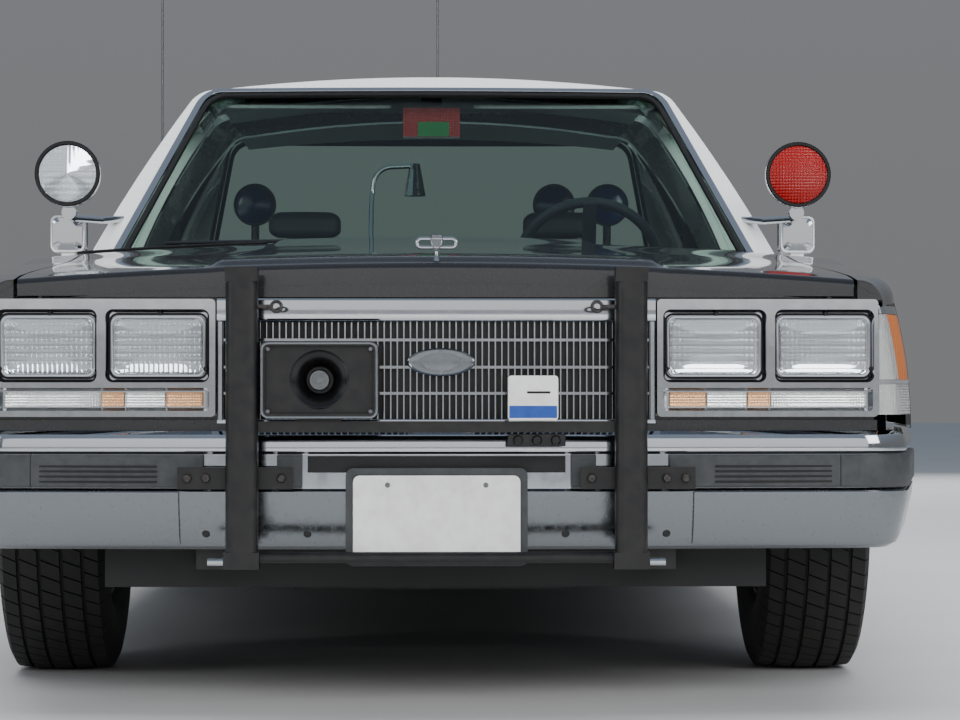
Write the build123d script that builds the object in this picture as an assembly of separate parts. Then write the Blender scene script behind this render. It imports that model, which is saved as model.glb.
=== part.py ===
from build123d import *
import os
from math import atan2, cos, pi, radians, sin, sqrt

# Full-size patrol sedan, millimetres: front towards -Y, car's left at +X, ground at z = 0.
# The origin is on the ground, midway between the push bar's face and the rear bumper's.

# Length and stance
WHEELBASE = 2903
FRONT_OVERHANG = 1050
REAR_OVERHANG = 1406
PUSH_BAR_REACH = 80
TRACK = 1580

# Body widths and heights
HALF_WIDTH = 972
SILL_Z = 255
SILL_TUCK = 38
BULGE_Z = 590
BELT_Z = 905
CROWN_EDGE_IN = 75
SHOULDER_IN = 30
SHOULDER_DROP = 45
SHEET = 10
HOOD_DEPTH = 28

# Cabin
ROOF_Z = 1410
BELT_IN = 114
RAIL_IN = 218
BELT_HALF = HALF_WIDTH - BELT_IN
RAIL_HALF = BELT_HALF - RAIL_IN
RAIL_DROP = 75
CABIN_FOOT_Z = 870
ROOF_WALL = 40
FRAME_TOP_Z = 1316
FRAME_DEPTH = 34
FRAME_WIDTH = 28
GLASS = 5
GLASS_IN = 12

# Shut lines and fits
SHUT_GAP = 8
TRAILING_GAP = 24
RUNNING_CLEARANCE = 0.05
FIT_GAP = 1

# Doors
DOOR_THICKNESS = 150
DOOR_FOOT_Z = 336
JAMB_SLANT = 14
PILLAR_GAP = 6

# Wheels
TYRE_RADIUS = 348
TYRE_WIDTH = 225
RIM_RADIUS = 190.5
RIM_WIDTH = 184
ARCH_RADIUS = 382
ARCH_RISE = 14
ARCH_LIP = 44
SPINDLE_RADIUS = 20
KINGPIN_IN = 55
KINGPIN_RADIUS = 14
BALL_JOINT_DROP = 105

# Places along the car, worked out from the axles
LENGTH = PUSH_BAR_REACH + FRONT_OVERHANG + WHEELBASE + REAR_OVERHANG
Y_TIP = -LENGTH / 2
Y_BUMPER = Y_TIP + PUSH_BAR_REACH
Y_FRONT_AXLE = Y_BUMPER + FRONT_OVERHANG
Y_REAR_AXLE = Y_FRONT_AXLE + WHEELBASE
Y_REAR = Y_REAR_AXLE + REAR_OVERHANG
WHEEL_X = TRACK / 2
KINGPIN_X = WHEEL_X - KINGPIN_IN

NOSE_SETBACK = 50
LAMP_WRAP = 140
TAIL_SETBACK = 95
Y_NOSE = Y_BUMPER + NOSE_SETBACK
Y_LAMPS = Y_NOSE + LAMP_WRAP
Y_COWL = Y_FRONT_AXLE + 480
Y_DOOR = Y_FRONT_AXLE + 550
Y_B_PILLAR = Y_FRONT_AXLE + 1655
Y_REAR_DOOR_END = Y_REAR_AXLE - 325
Y_BACKLIGHT = Y_REAR_AXLE - 60
Y_DECK = Y_REAR_AXLE + 10
Y_MID_DECK = Y_REAR_AXLE + 600
Y_TAIL = Y_REAR - TAIL_SETBACK

# Hood and trunk lid
HOOD_HALF_FRONT = HALF_WIDTH - 204
HOOD_HALF_REAR = HALF_WIDTH - 172
HOOD_FRONT_GAP = 12
LID_HALF = 700
LID_LIP_Z = 868
HINGE_SETBACK = 10

# Body stations: place along the car, narrowing each side, crown edge below the belt, crown's rise
STATIONS = (
    (Y_NOSE, 123, 103, 30),
    (Y_LAMPS, 80, 92, 34),
    (Y_FRONT_AXLE, 10, 37, 36),
    (Y_COWL, 0, 0, 38),
    (Y_B_PILLAR, 0, -8, 40),
    (Y_BACKLIGHT, 0, -24, 46),
    (Y_MID_DECK, 6, -20, 40),
    (Y_TAIL, 42, 10, 34),
)
NOSE, LAMPS, AXLE, COWL, PILLAR, BACKLIGHT, DECK, TAIL = range(len(STATIONS))

# Cabin stations: place, narrowing at the belt, narrowing at the rail, drop of the roof below its crest
CABIN_STATIONS = (
    (Y_COWL - 60, 46, 70, 24),
    (Y_FRONT_AXLE + 1170, 20, 22, 12),
    (Y_FRONT_AXLE + 1690, 0, 0, 0),
    (Y_REAR_AXLE - 440, 8, 8, 26),
    (Y_REAR_AXLE + 60, 24, 26, 60),
)

# Raked glass: place of its foot on the centre line, height there, run and rise of the slope, bow in plan
SHIELD_BASE_Y = Y_FRONT_AXLE + 520
SHIELD_BASE_Z = 930
SHIELD_RUN = 620
SHIELD_RISE = 440
SHIELD_BOW = 75
BACKLIGHT_BASE_Z = 975
BACKLIGHT_RUN = 380
BACKLIGHT_RISE = 400
BACKLIGHT_BOW = 40
GLASS_HALF = 750


def block(x0, x1, y0, y1, z0, z1):
    """Plain block between two corners."""
    return Pos((x0 + x1) / 2, (y0 + y1) / 2, (z0 + z1) / 2) * Box(x1 - x0, y1 - y0, z1 - z0)


def prism_x(points, x0, x1, rounding=0):
    """Side-view outline of (y, z) points carried across the car."""
    face = make_face(Polyline(*[(y, z) for y, z in points], close=True))
    if rounding:
        face = fillet(face.vertices(), rounding)
    plane = Plane(origin=(x0, 0, 0), x_dir=(0, 1, 0), z_dir=(1, 0, 0))
    return extrude(plane * face, x1 - x0)


def prism_y(points, y0, y1, rounding=0):
    """Front-view outline of (x, z) points carried along the car."""
    face = make_face(Polyline(*points, close=True))
    if rounding:
        face = fillet(face.vertices(), rounding)
    plane = Plane(origin=(0, y1, 0), x_dir=(1, 0, 0), z_dir=(0, -1, 0))
    return extrude(plane * face, y1 - y0)


def prism_z(points, z0, z1, rounding=0):
    """Plan outline of (x, y) points carried upwards."""
    face = make_face(Polyline(*points, close=True))
    if rounding:
        face = fillet(face.vertices(), rounding)
    return extrude(Pos(0, 0, z0) * face, z1 - z0)


def rounded_plate(x, z, width, height, rounding, y0, y1):
    """Upright plate with rounded corners, centred on x and z."""
    face = RectangleRounded(width, height, rounding)
    plane = Plane(origin=(x, y1, z), x_dir=(1, 0, 0), z_dir=(0, -1, 0))
    return extrude(plane * face, y1 - y0)


def disc_x(x0, x1, y, z, radius):
    """Round bar lying across the car."""
    return extrude(Plane(origin=(x0, y, z), x_dir=(0, 1, 0), z_dir=(1, 0, 0)) * Circle(radius), x1 - x0)


def disc_y(x, y0, y1, z, radius):
    """Round bar lying along the car."""
    return extrude(Plane(origin=(x, y1, z), x_dir=(1, 0, 0), z_dir=(0, -1, 0)) * Circle(radius), y1 - y0)


def post_z(x, y, z0, z1, radius):
    """Round upright bar."""
    return extrude(Pos(x, y, z0) * Circle(radius), z1 - z0)


def tube(points, bends, radius):
    """Round tube along straight runs joined by tangent arcs."""
    path = FilletPolyline(*points, radius=bends)
    start = Plane(origin=path @ 0, z_dir=path % 0)
    return sweep(start * Circle(radius), path)


def mirrored(shape):
    """The same piece on the car's right side."""
    return mirror(shape, about=Plane.YZ)


def pair(shape):
    """The piece and its mirror image, as solids of one node."""
    return Compound(children=shape.solids() + mirrored(shape).solids())


def ring_wire(y, foot, side_mid, side_top, shoulder_mid, crown_edge, crown_z):
    """Closed cross-section of a flat foot, two bowed sides, two round shoulders and a crown."""
    def place(point, side):
        return (side * point[0], y, point[1])
    edges = [
        Line(place(foot, -1), place(foot, 1)),
        ThreePointArc(place(foot, 1), place(side_mid, 1), place(side_top, 1)),
        ThreePointArc(place(side_top, 1), place(shoulder_mid, 1), place(crown_edge, 1)),
        ThreePointArc(place(crown_edge, 1), (0, y, crown_z), place(crown_edge, -1)),
        ThreePointArc(place(crown_edge, -1), place(shoulder_mid, -1), place(side_top, -1)),
        ThreePointArc(place(side_top, -1), place(side_mid, -1), place(foot, -1)),
    ]
    return Wire(edges)


def body_wire(station, inset):
    """Cross-section of the lower body, moved inwards by inset; an inner one opens downwards."""
    y, narrowing, drop, rise = station
    half = HALF_WIDTH - narrowing - inset
    edge_z = BELT_Z - drop - inset
    foot = (half - SILL_TUCK, SILL_Z - inset)
    side_top = (half - SHOULDER_IN, edge_z - SHOULDER_DROP)
    shoulder_mid = (half - SHOULDER_IN * 1.4, edge_z - SHOULDER_DROP * 0.29)
    crown_edge = (half - CROWN_EDGE_IN, edge_z)
    return ring_wire(y, foot, (half, BULGE_Z), side_top, shoulder_mid, crown_edge, edge_z + rise)


BODY_CACHE = {}


def body(first, last, inset=0):
    """Lower body volume between two stations."""
    key = (first, last, inset)
    if key not in BODY_CACHE:
        wires = [body_wire(station, inset) for station in STATIONS[first:last + 1]]
        BODY_CACHE[key] = Solid.make_loft(wires, True)
    return BODY_CACHE[key]


def body_shell(first, last, thickness):
    """Skin of the lower body, open below and at both ends."""
    return body(first, last) - body(first, last, thickness)


def cabin_wire(station, inset):
    """Cross-section of the cabin above the belt."""
    y, belt_in, rail_in, roof_drop = station
    belt = BELT_HALF - belt_in - inset
    rail = RAIL_HALF - rail_in - inset
    rail_z = ROOF_Z - RAIL_DROP - roof_drop * 0.4 - inset
    foot = (belt + 12, CABIN_FOOT_Z - inset)
    side_mid = ((belt + rail) / 2 + 12, (BELT_Z + rail_z) / 2)
    shoulder_mid = (rail - 22, rail_z + 22)
    crown_edge = (rail - 64, rail_z + 34)
    return ring_wire(y, foot, side_mid, (rail, rail_z), shoulder_mid, crown_edge, ROOF_Z - roof_drop - inset)


def raked_prism(base_y, base_z, run, rise, bow, facing, inset):
    """Everything behind a sloping glass surface: a plan arc carried up the slope."""
    slope = sqrt(run ** 2 + rise ** 2)
    foot_z = CABIN_FOOT_Z - 100
    climb = base_z - foot_z
    y = base_y + facing * (inset * slope / rise - climb * run / rise)
    reach = HALF_WIDTH
    sweep_back = bow * (reach / GLASS_HALF) ** 2
    far = y + facing * (LENGTH / 2)
    side_y = y + facing * sweep_back
    outline = [
        ThreePointArc((-reach, side_y, foot_z), (0, y, foot_z), (reach, side_y, foot_z)),
        Line((reach, side_y, foot_z), (reach, far, foot_z)),
        Line((reach, far, foot_z), (-reach, far, foot_z)),
        Line((-reach, far, foot_z), (-reach, side_y, foot_z)),
    ]
    face = Face(Wire(outline))
    tall = (ROOF_Z - foot_z) * 1.2 * slope / rise
    return extrude(face, tall, dir=(0, facing * run, rise))


CABIN_CACHE = {}


def cabin(inset=0):
    """Cabin volume above the belt, cut off by the raked glass at both ends."""
    if inset not in CABIN_CACHE:
        volume = Solid.make_loft([cabin_wire(station, inset) for station in CABIN_STATIONS], True)
        front = raked_prism(SHIELD_BASE_Y, SHIELD_BASE_Z, SHIELD_RUN, SHIELD_RISE, SHIELD_BOW, 1, inset)
        rear = raked_prism(Y_BACKLIGHT, BACKLIGHT_BASE_Z, BACKLIGHT_RUN, BACKLIGHT_RISE,
                           BACKLIGHT_BOW, -1, inset)
        CABIN_CACHE[inset] = volume & front & rear
    return CABIN_CACHE[inset]


def biggest(shape):
    """The largest solid of a cut shape; the offcuts are dropped."""
    return max(shape.solids(), key=lambda solid: solid.volume)


def rearmost(shape):
    """The solid that lies furthest back."""
    return max(shape.solids(), key=lambda solid: solid.center().Y)


def side_view(points):
    """Side-view outline of (y, z) points, carried through the whole width."""
    return prism_x(points, -HALF_WIDTH - 50, HALF_WIDTH + 50)


# Door outlines in side view
A_LINE_SETBACK = 55
C_TOP_Y = Y_REAR_AXLE - 590
C_BASE_Y = Y_REAR_DOOR_END
SHIELD_SIDE_Y = SHIELD_BASE_Y + SHIELD_BOW * (BELT_HALF / GLASS_HALF) ** 2
A_BASE_Y = SHIELD_SIDE_Y + A_LINE_SETBACK
A_TOP_Y = A_BASE_Y + (FRAME_TOP_Z - BELT_Z) * SHIELD_RUN / SHIELD_RISE
UPPER_FOOT_Z = BELT_Z - 25
DOOR_INNER_X = HALF_WIDTH - DOOR_THICKNESS
ARCH_Z = TYRE_RADIUS + ARCH_RISE

FRONT_FRAME = (
    (A_BASE_Y, UPPER_FOOT_Z), (A_BASE_Y, BELT_Z), (A_TOP_Y, FRAME_TOP_Z),
    (Y_B_PILLAR - TRAILING_GAP / 2, FRAME_TOP_Z), (Y_B_PILLAR - TRAILING_GAP / 2, UPPER_FOOT_Z),
)
REAR_FRAME = (
    (Y_B_PILLAR + TRAILING_GAP / 2, UPPER_FOOT_Z), (Y_B_PILLAR + TRAILING_GAP / 2, FRAME_TOP_Z),
    (C_TOP_Y, FRAME_TOP_Z), (C_BASE_Y, BELT_Z), (C_BASE_Y, UPPER_FOOT_Z),
)
DOORWAY = (
    (A_BASE_Y - SHUT_GAP, CABIN_FOOT_Z - 20), (A_BASE_Y - SHUT_GAP, BELT_Z),
    (A_TOP_Y - SHUT_GAP, FRAME_TOP_Z + SHUT_GAP), (C_TOP_Y + TRAILING_GAP, FRAME_TOP_Z + SHUT_GAP),
    (C_BASE_Y + TRAILING_GAP, BELT_Z), (C_BASE_Y + TRAILING_GAP, CABIN_FOOT_Z - 20),
)


MOULDING_PROUD = 10
MOULDING_FOOT_Z = 436
MOULDING_TOP_Z = 476
MOULDING_END_GAP = 16


def moulding(y0, y1):
    """Protective moulding along the left body side between two places."""
    outer = body(LAMPS, TAIL, -MOULDING_PROUD) - body(LAMPS, TAIL, SHEET / 2)
    return outer & block(HALF_WIDTH / 2, HALF_WIDTH + 50, y0, y1, MOULDING_FOOT_Z, MOULDING_TOP_Z)


def arch(axle_y, radius, x0=0, x1=HALF_WIDTH + 50):
    """Round wheel opening cut through one body side."""
    return disc_x(x0, x1, axle_y, ARCH_Z, radius)


# Fixed body


SEAM_SLOPE = (HOOD_HALF_REAR - HOOD_HALF_FRONT) / (Y_COWL - Y_NOSE)


def hood_edge(y, gap):
    """Half width of the hood at a place, widened by gap."""
    return HOOD_HALF_FRONT + SEAM_SLOPE * (y - Y_NOSE) + gap


HOOD_REAR_Y = Y_COWL - 20
BUMPER_TOP_Z = 527
BUMPER_FOOT_Z = 309
LAMP_TOP_Z = 771
FENDER_LIP_Z = 778


def fender():
    """Left front fender: skin from the lamps to the door, open at the wheel and over the bumper."""
    skin = body_shell(NOSE, COWL + 1, SHEET)
    edge = [(hood_edge(Y_NOSE, SHUT_GAP), Y_NOSE), (hood_edge(Y_COWL, SHUT_GAP), Y_COWL)]
    rear_y = Y_DOOR - SHUT_GAP
    far = HALF_WIDTH + 50
    region = edge + [(hood_edge(Y_COWL, SHUT_GAP), rear_y), (far, rear_y), (far, Y_NOSE)]
    skin = skin & prism_z(region, SILL_Z - 20, ROOF_Z)
    skin = skin - arch(Y_FRONT_AXLE, ARCH_RADIUS)
    skin = skin - block(0, far, Y_NOSE - 10, Y_LAMPS, SILL_Z - 20, FENDER_LIP_Z)
    skin = skin - block(0, far, Y_NOSE - 10, Y_FRONT_AXLE, SILL_Z - 20, BUMPER_TOP_Z + SHUT_GAP)
    trim = moulding(Y_FRONT_AXLE + ARCH_RADIUS + MOULDING_END_GAP, rear_y - MOULDING_END_GAP)
    return biggest(skin + trim)


LAMP_WALL_BACK = 50


def nose_panel():
    """Header under the hood's lip, lamp wall behind grille and lamps, and the sill over the bumper."""
    under_hood = body(NOSE, LAMPS, HOOD_DEPTH + SHUT_GAP)
    width = HALF_WIDTH - STATIONS[NOSE][1] - HOOD_DEPTH - SHUT_GAP - CROWN_EDGE_IN
    header = under_hood & block(-width, width, Y_NOSE, Y_NOSE + 90, LAMP_TOP_Z, ROOF_Z)
    wall_y = Y_NOSE + LAMP_WALL_BACK
    wall_half = BEZEL_OUTER_X - 1
    wall = block(-wall_half, wall_half, wall_y, wall_y + 12, BUMPER_TOP_Z, LAMP_TOP_Z)
    grille_hole = block(-GRILLE_HALF + 10, GRILLE_HALF - 10, wall_y - 1, wall_y + 13,
                        GRILLE_FOOT_Z + 14, LAMP_TOP_Z - 12)
    strip = block(-wall_half, wall_half, Y_NOSE + 8, wall_y, BUMPER_TOP_Z, GRILLE_FOOT_Z)
    return header + (wall - grille_hole) + strip


BEZEL_OUTER_X = HALF_WIDTH - 160
BEZEL_WIDTH = 407
BEZEL_INNER_X = BEZEL_OUTER_X - BEZEL_WIDTH
GRILLE_HALF = BEZEL_INNER_X - 3
GRILLE_FOOT_Z = 546
GRILLE_HEADER = 45
GRILLE_PITCH = 12
GRILLE_BAR = 3.4
GRILLE_RAILS = (604, 650, 698)
GRILLE_RAIL_HEIGHT = 4


def grille():
    """Bright header over a field of fine upright bars crossed by three rails."""
    field_top = LAMP_TOP_Z - GRILLE_HEADER
    face_y = Y_NOSE + 10
    plate = block(-GRILLE_HALF, GRILLE_HALF, face_y, face_y + 12, GRILLE_FOOT_Z, field_top)
    levels = [GRILLE_FOOT_Z + 8] + list(GRILLE_RAILS) + [field_top]
    count = int((2 * GRILLE_HALF - 24) / GRILLE_PITCH)
    plane = Plane(origin=(0, face_y + 13, 0), x_dir=(1, 0, 0), z_dir=(0, -1, 0))
    slots = Sketch()
    for low, high in zip(levels[:-1], levels[1:]):
        height = high - low - GRILLE_RAIL_HEIGHT
        row = [Pos((i - (count - 1) / 2) * GRILLE_PITCH, (low + high) / 2)
               * Rectangle(GRILLE_PITCH - GRILLE_BAR, height) for i in range(count)]
        slots += row
    plate = plate - extrude(plane * slots, 14)
    header = prism_x([(Y_NOSE + 2, field_top), (Y_NOSE - 4, field_top + 8), (Y_NOSE - 4, LAMP_TOP_Z - 10),
                      (Y_NOSE + 4, LAMP_TOP_Z), (Y_NOSE + LAMP_WALL_BACK, LAMP_TOP_Z),
                      (Y_NOSE + LAMP_WALL_BACK, field_top)], -GRILLE_HALF, GRILLE_HALF)
    side = block(GRILLE_HALF - 8, GRILLE_HALF, face_y, Y_NOSE + LAMP_WALL_BACK, GRILLE_FOOT_Z, field_top)
    return plate + header + side + mirrored(side)


# Lamp pockets in the bezel: centre across, centre height, width, height, corner rounding
POCKETS = (
    (BEZEL_OUTER_X - 301, 682, 190, 134, 14),
    (BEZEL_OUTER_X - 99, 682, 183, 134, 14),
    (BEZEL_OUTER_X - 203, 584, 386, 42, 6),
)
BEZEL_FOOT_Z = 552
POCKET_DEPTH = 26
LENS_SIZE = (165, 104)


def lamp_bezel():
    """Left lamp bezel: a bright frame with two flared lamp pockets over a turn-lamp slot."""
    width = BEZEL_OUTER_X - BEZEL_INNER_X
    height = LAMP_TOP_Z - 3 - BEZEL_FOOT_Z
    centre_x = (BEZEL_OUTER_X + BEZEL_INNER_X) / 2
    centre_z = (LAMP_TOP_Z - 3 + BEZEL_FOOT_Z) / 2
    frame = rounded_plate(centre_x, centre_z, width, height, 8, Y_NOSE - 2, Y_NOSE + LAMP_WALL_BACK)
    for x, z, pocket_width, pocket_height, rounding in POCKETS:
        mouth = Plane(origin=(x, Y_NOSE - 2, z), x_dir=(1, 0, 0), z_dir=(0, 1, 0))
        outline = RectangleRounded(pocket_width, pocket_height, rounding)
        frame = frame - extrude(mouth * outline, POCKET_DEPTH, taper=12)
    return frame


def headlamps():
    """Four sealed-beam lamps, each a rounded block with a bowed lens, seated in its pocket."""
    lamps = []
    seat_y = Y_NOSE - 2 + POCKET_DEPTH
    for x, z, _, _, _ in POCKETS[:2]:
        lamp = rounded_plate(x, z, LENS_SIZE[0], LENS_SIZE[1], 12, seat_y - 20, seat_y)
        bow_radius = 420
        bow = Pos(x, seat_y - 20 + bow_radius, z) * Sphere(bow_radius)
        lamps.append(lamp & bow)
    return Compound(children=[s for lamp in lamps for s in pair(lamp).solids()])


def marker_lenses():
    """Turn lamps under the headlamps and lenses that wrap round the corners."""
    x, z, width, height, rounding = POCKETS[2]
    seat_y = Y_NOSE - 2 + POCKET_DEPTH
    turn = rounded_plate(x, z, width - 16, height - 14, rounding - 2, seat_y - 18, seat_y)
    corner = body(NOSE, LAMPS) & block(BEZEL_OUTER_X + 2, HALF_WIDTH, Y_NOSE, Y_LAMPS - SHUT_GAP,
                                       BEZEL_FOOT_Z, LAMP_TOP_Z - 3)
    hollow = body(NOSE, LAMPS, 14) & block(0, HALF_WIDTH, Y_NOSE + 14, Y_LAMPS, 0, ROOF_Z)
    corner = biggest(corner - hollow)
    foot = block(BEZEL_OUTER_X + 2, BEZEL_OUTER_X + 10, Y_NOSE + 10, Y_NOSE + LAMP_WALL_BACK,
                 BEZEL_FOOT_Z + 20, LAMP_TOP_Z - 20)
    return Compound(children=pair(turn).solids() + pair(corner + foot).solids())


def cowl_panel():
    """Panel across the car between hood and windshield."""
    skin = body_shell(COWL - 1, PILLAR, SHEET)
    front_y = HOOD_REAR_Y + HINGE_SETBACK
    wide = block(-hood_edge(Y_COWL, -4), hood_edge(Y_COWL, -4), front_y, Y_DOOR, 0, ROOF_Z)
    narrow = block(-POST_INNER_X, POST_INNER_X, front_y, A_BASE_Y - 20, 0, ROOF_Z)
    return skin & (wide + narrow)


POST_INNER_X = HALF_WIDTH - 227
POST_OUTER_X = DOOR_INNER_X - PILLAR_GAP
FLOOR_TOP_Z = DOOR_FOOT_Z - SHUT_GAP
FLOOR_THICKNESS = 12


def body_pillars():
    """Hinge posts and centre posts of the body side, inboard of the doors."""
    hinge_post = body(COWL, PILLAR) & block(POST_INNER_X, POST_OUTER_X, Y_DOOR + 1, A_BASE_Y,
                                            FLOOR_TOP_Z, ROOF_Z)
    lower = body(COWL, BACKLIGHT) & block(POST_OUTER_X - 45, POST_OUTER_X, Y_B_PILLAR - 50, Y_B_PILLAR + 50,
                                          FLOOR_TOP_Z, BELT_Z - 24)
    upper = cabin(ROOF_WALL) - cabin(ROOF_WALL + 44)
    upper = upper & block(0, HALF_WIDTH, Y_B_PILLAR - 38, Y_B_PILLAR + 38,
                          CABIN_FOOT_Z - 60, FRAME_TOP_Z + 30)
    upper = upper - block(POST_OUTER_X - 20, HALF_WIDTH, Y_B_PILLAR - 60, Y_B_PILLAR + 60, 0, BELT_Z + 30)
    centre_post = lower + upper
    return Compound(children=pair(hinge_post).solids() + pair(centre_post).solids())


SHIELD_FOOT_HALF = BELT_HALF - 93
SHIELD_KNEE_HALF = BELT_HALF - 116
SHIELD_TOP_HALF = RAIL_HALF - 62
SHIELD_OPENING = (
    (-SHIELD_FOOT_HALF, 880), (SHIELD_FOOT_HALF, 880), (SHIELD_KNEE_HALF, 940),
    (SHIELD_TOP_HALF, 1360), (-SHIELD_TOP_HALF, 1360), (-SHIELD_KNEE_HALF, 940),
)
BACKLIGHT_FOOT_HALF = BELT_HALF - 138
BACKLIGHT_TOP_HALF = RAIL_HALF - 40
BACKLIGHT_OPENING = (
    (-BACKLIGHT_FOOT_HALF, 900), (BACKLIGHT_FOOT_HALF, 900),
    (BACKLIGHT_TOP_HALF, 1346), (-BACKLIGHT_TOP_HALF, 1346),
)


def glass_opening(points, front, grow):
    """Front-view opening for the windshield or the rear window, grown or shrunk by grow."""
    face = make_face(Polyline(*points, close=True))
    face = fillet(face.vertices().sort_by(Axis.Y)[-2:], 60)
    if grow:
        face = offset(face, grow)
    y0, y1 = (SHIELD_BASE_Y - 200, Y_B_PILLAR) if front else (Y_B_PILLAR, Y_BACKLIGHT + 200)
    plane = Plane(origin=(0, y1, 0), x_dir=(1, 0, 0), z_dir=(0, -1, 0))
    return extrude(plane * face, y1 - y0)


def roof():
    """White roof with windshield pillars and rear quarters in one shell."""
    shell = cabin() - cabin(ROOF_WALL)
    shell = shell - side_view(DOORWAY)
    shell = shell - glass_opening(SHIELD_OPENING, True, 0) - glass_opening(BACKLIGHT_OPENING, False, 0)
    shell = shell - body(AXLE, TAIL)
    return biggest(shell)


def fixed_glass():
    """Windshield and rear window, each one bowed sheet in its opening."""
    sheet = cabin(GLASS_IN) - cabin(GLASS_IN + GLASS)
    front = (sheet & glass_opening(SHIELD_OPENING, True, -FIT_GAP)) - body(AXLE, TAIL)
    rear = (sheet & glass_opening(BACKLIGHT_OPENING, False, -FIT_GAP)) - body(AXLE, TAIL)
    return Compound(children=[biggest(front), biggest(rear)])


LAMP_FOOT_Z = 640
TAIL_LAMP_INNER_X = 330
TAIL_LAMP_DEPTH = 110
SILL_END_Y = Y_REAR_AXLE - ARCH_RADIUS - 50


def quarter_panel():
    """Left rear quarter: skin round the rear wheel, up to the roof's quarter and the trunk lid."""
    skin = body_shell(PILLAR, TAIL, SHEET)
    far = HALF_WIDTH + 50
    skin = skin & block(LID_HALF + SHUT_GAP, far, SILL_END_Y + 1, Y_TAIL, 0, ROOF_Z)
    door_zone = block(0, far, SILL_END_Y - 100, Y_REAR_DOOR_END + SHUT_GAP, FLOOR_TOP_Z, ROOF_Z)
    skin = skin - (door_zone - arch(Y_REAR_AXLE, ARCH_RADIUS + ARCH_LIP - SHUT_GAP))
    skin = skin - arch(Y_REAR_AXLE, ARCH_RADIUS)
    skin = skin - block(0, far, Y_REAR_AXLE, Y_TAIL + 10, 0, BUMPER_TOP_Z + SHUT_GAP)
    lamp_y = Y_TAIL - TAIL_LAMP_DEPTH - SHUT_GAP
    skin = skin - block(0, far, lamp_y, Y_TAIL + 10, LAMP_FOOT_Z - 8, LID_LIP_Z + 4)
    return biggest(skin)


def tail_lamps():
    """Wide tail lamps that wrap round the rear corners."""
    lamp = body(DECK, TAIL) & block(TAIL_LAMP_INNER_X, HALF_WIDTH, Y_TAIL - TAIL_LAMP_DEPTH, Y_TAIL,
                                    LAMP_FOOT_Z, LID_LIP_Z - SHUT_GAP)
    hollow = body(DECK, TAIL, 20) & block(0, HALF_WIDTH, Y_TAIL - TAIL_LAMP_DEPTH - 1, Y_TAIL - 20, 0, ROOF_Z)
    return pair(biggest(lamp - hollow))


def tail_panel():
    """Rear panel between and under the tail lamps, with the lamp wall behind them."""
    half = HALF_WIDTH - 110
    wall = block(-half, half, Y_TAIL - 32, Y_TAIL - 20, BUMPER_TOP_Z, LID_LIP_Z - SHUT_GAP)
    middle = block(-TAIL_LAMP_INNER_X + 1, TAIL_LAMP_INNER_X - 1, Y_TAIL - 20, Y_TAIL - 4,
                   BUMPER_TOP_Z, LID_LIP_Z - SHUT_GAP)
    lower = body(DECK, TAIL, SHEET + 1) & block(-HALF_WIDTH, HALF_WIDTH, Y_TAIL - 20, Y_TAIL,
                                                BUMPER_TOP_Z, LAMP_FOOT_Z - 1)
    return wall + middle + lower


# Bumpers


BUMPER_WALL = 12
BUMPER_SIDE_IN = 12
BUMPER_CORNER_IN = 46
BUMPER_BOW = 48
BUMPER_PROFILE = (
    (-62, BUMPER_TOP_Z), (-16, BUMPER_TOP_Z), (-5, 519), (0, 503), (-1, 489), (-6, 485), (-6, 421), (-1, 417),
    (-3, 396), (-18, 330), (-26, 315), (-38, BUMPER_FOOT_Z), (-38, 321), (-30, 327), (-15, 398), (-18, 502),
    (-26, 515), (-62, 515),
)
PAD_PROFILE = ((-6, 423), (4, 423), (6.5, 427), (6.5, 479), (4, 483), (-6, 483))


BUMPER_BOW_RADIUS = 7000
BUMPER_CORNER_RADIUS = 110


def bumper_path(face_y, end_y, corner_half, end_half):
    """Plan line of a bumper: side, round corner, bowed face, and the mirror image."""
    inward = 1 if end_y > face_y else -1
    corner_y = face_y + inward * BUMPER_BOW
    lift = 0
    for _ in range(4):
        half_turn = atan2(BUMPER_BOW + lift, corner_half)
        lift = BUMPER_BOW_RADIUS * (1 / cos(half_turn) - 1)
    points = [(-end_half, end_y, 0), (-corner_half, corner_y, 0), (0, face_y - inward * lift, 0),
              (corner_half, corner_y, 0), (end_half, end_y, 0)]
    return FilletPolyline(*points, radius=[BUMPER_CORNER_RADIUS, BUMPER_BOW_RADIUS, BUMPER_CORNER_RADIUS])


def along_bumper(profile, face_y, end_y, corner_half, end_half):
    """A bumper section, as (outward, height) points, carried along the bumper's plan line."""
    path = bumper_path(face_y, end_y, corner_half, end_half)
    start, along = path @ 0, path % 0
    outward = Vector(-abs(along.Y), along.X * along.Y / abs(along.Y), 0)
    points = [(start.X + outward.X * u, start.Y + outward.Y * u, z) for u, z in profile]
    face = Face(Wire.make_polygon([Vector(*p) for p in points], close=True))
    return sweep(face, path, transition=Transition.RIGHT)


PAD_PROUD = 6.5
PAD_JOINT_X = 740
FRONT_BUMPER = (Y_BUMPER, Y_FRONT_AXLE - ARCH_RADIUS - 42, HALF_WIDTH - 110, HALF_WIDTH - 6)
REAR_BUMPER = (Y_REAR - PAD_PROUD, Y_REAR_AXLE + ARCH_RADIUS + 200, HALF_WIDTH - 46, HALF_WIDTH - 8)


def bumpers():
    """Front and rear bright bumpers, open channels that wrap to the wheel openings."""
    front = along_bumper(BUMPER_PROFILE, *FRONT_BUMPER)
    rear = along_bumper(BUMPER_PROFILE, *REAR_BUMPER)
    return Compound(children=front.solids() + rear.solids())


UPRIGHT_X = 350
UPRIGHT_WIDTH = 58
UPRIGHT_DEPTH = 50


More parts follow.
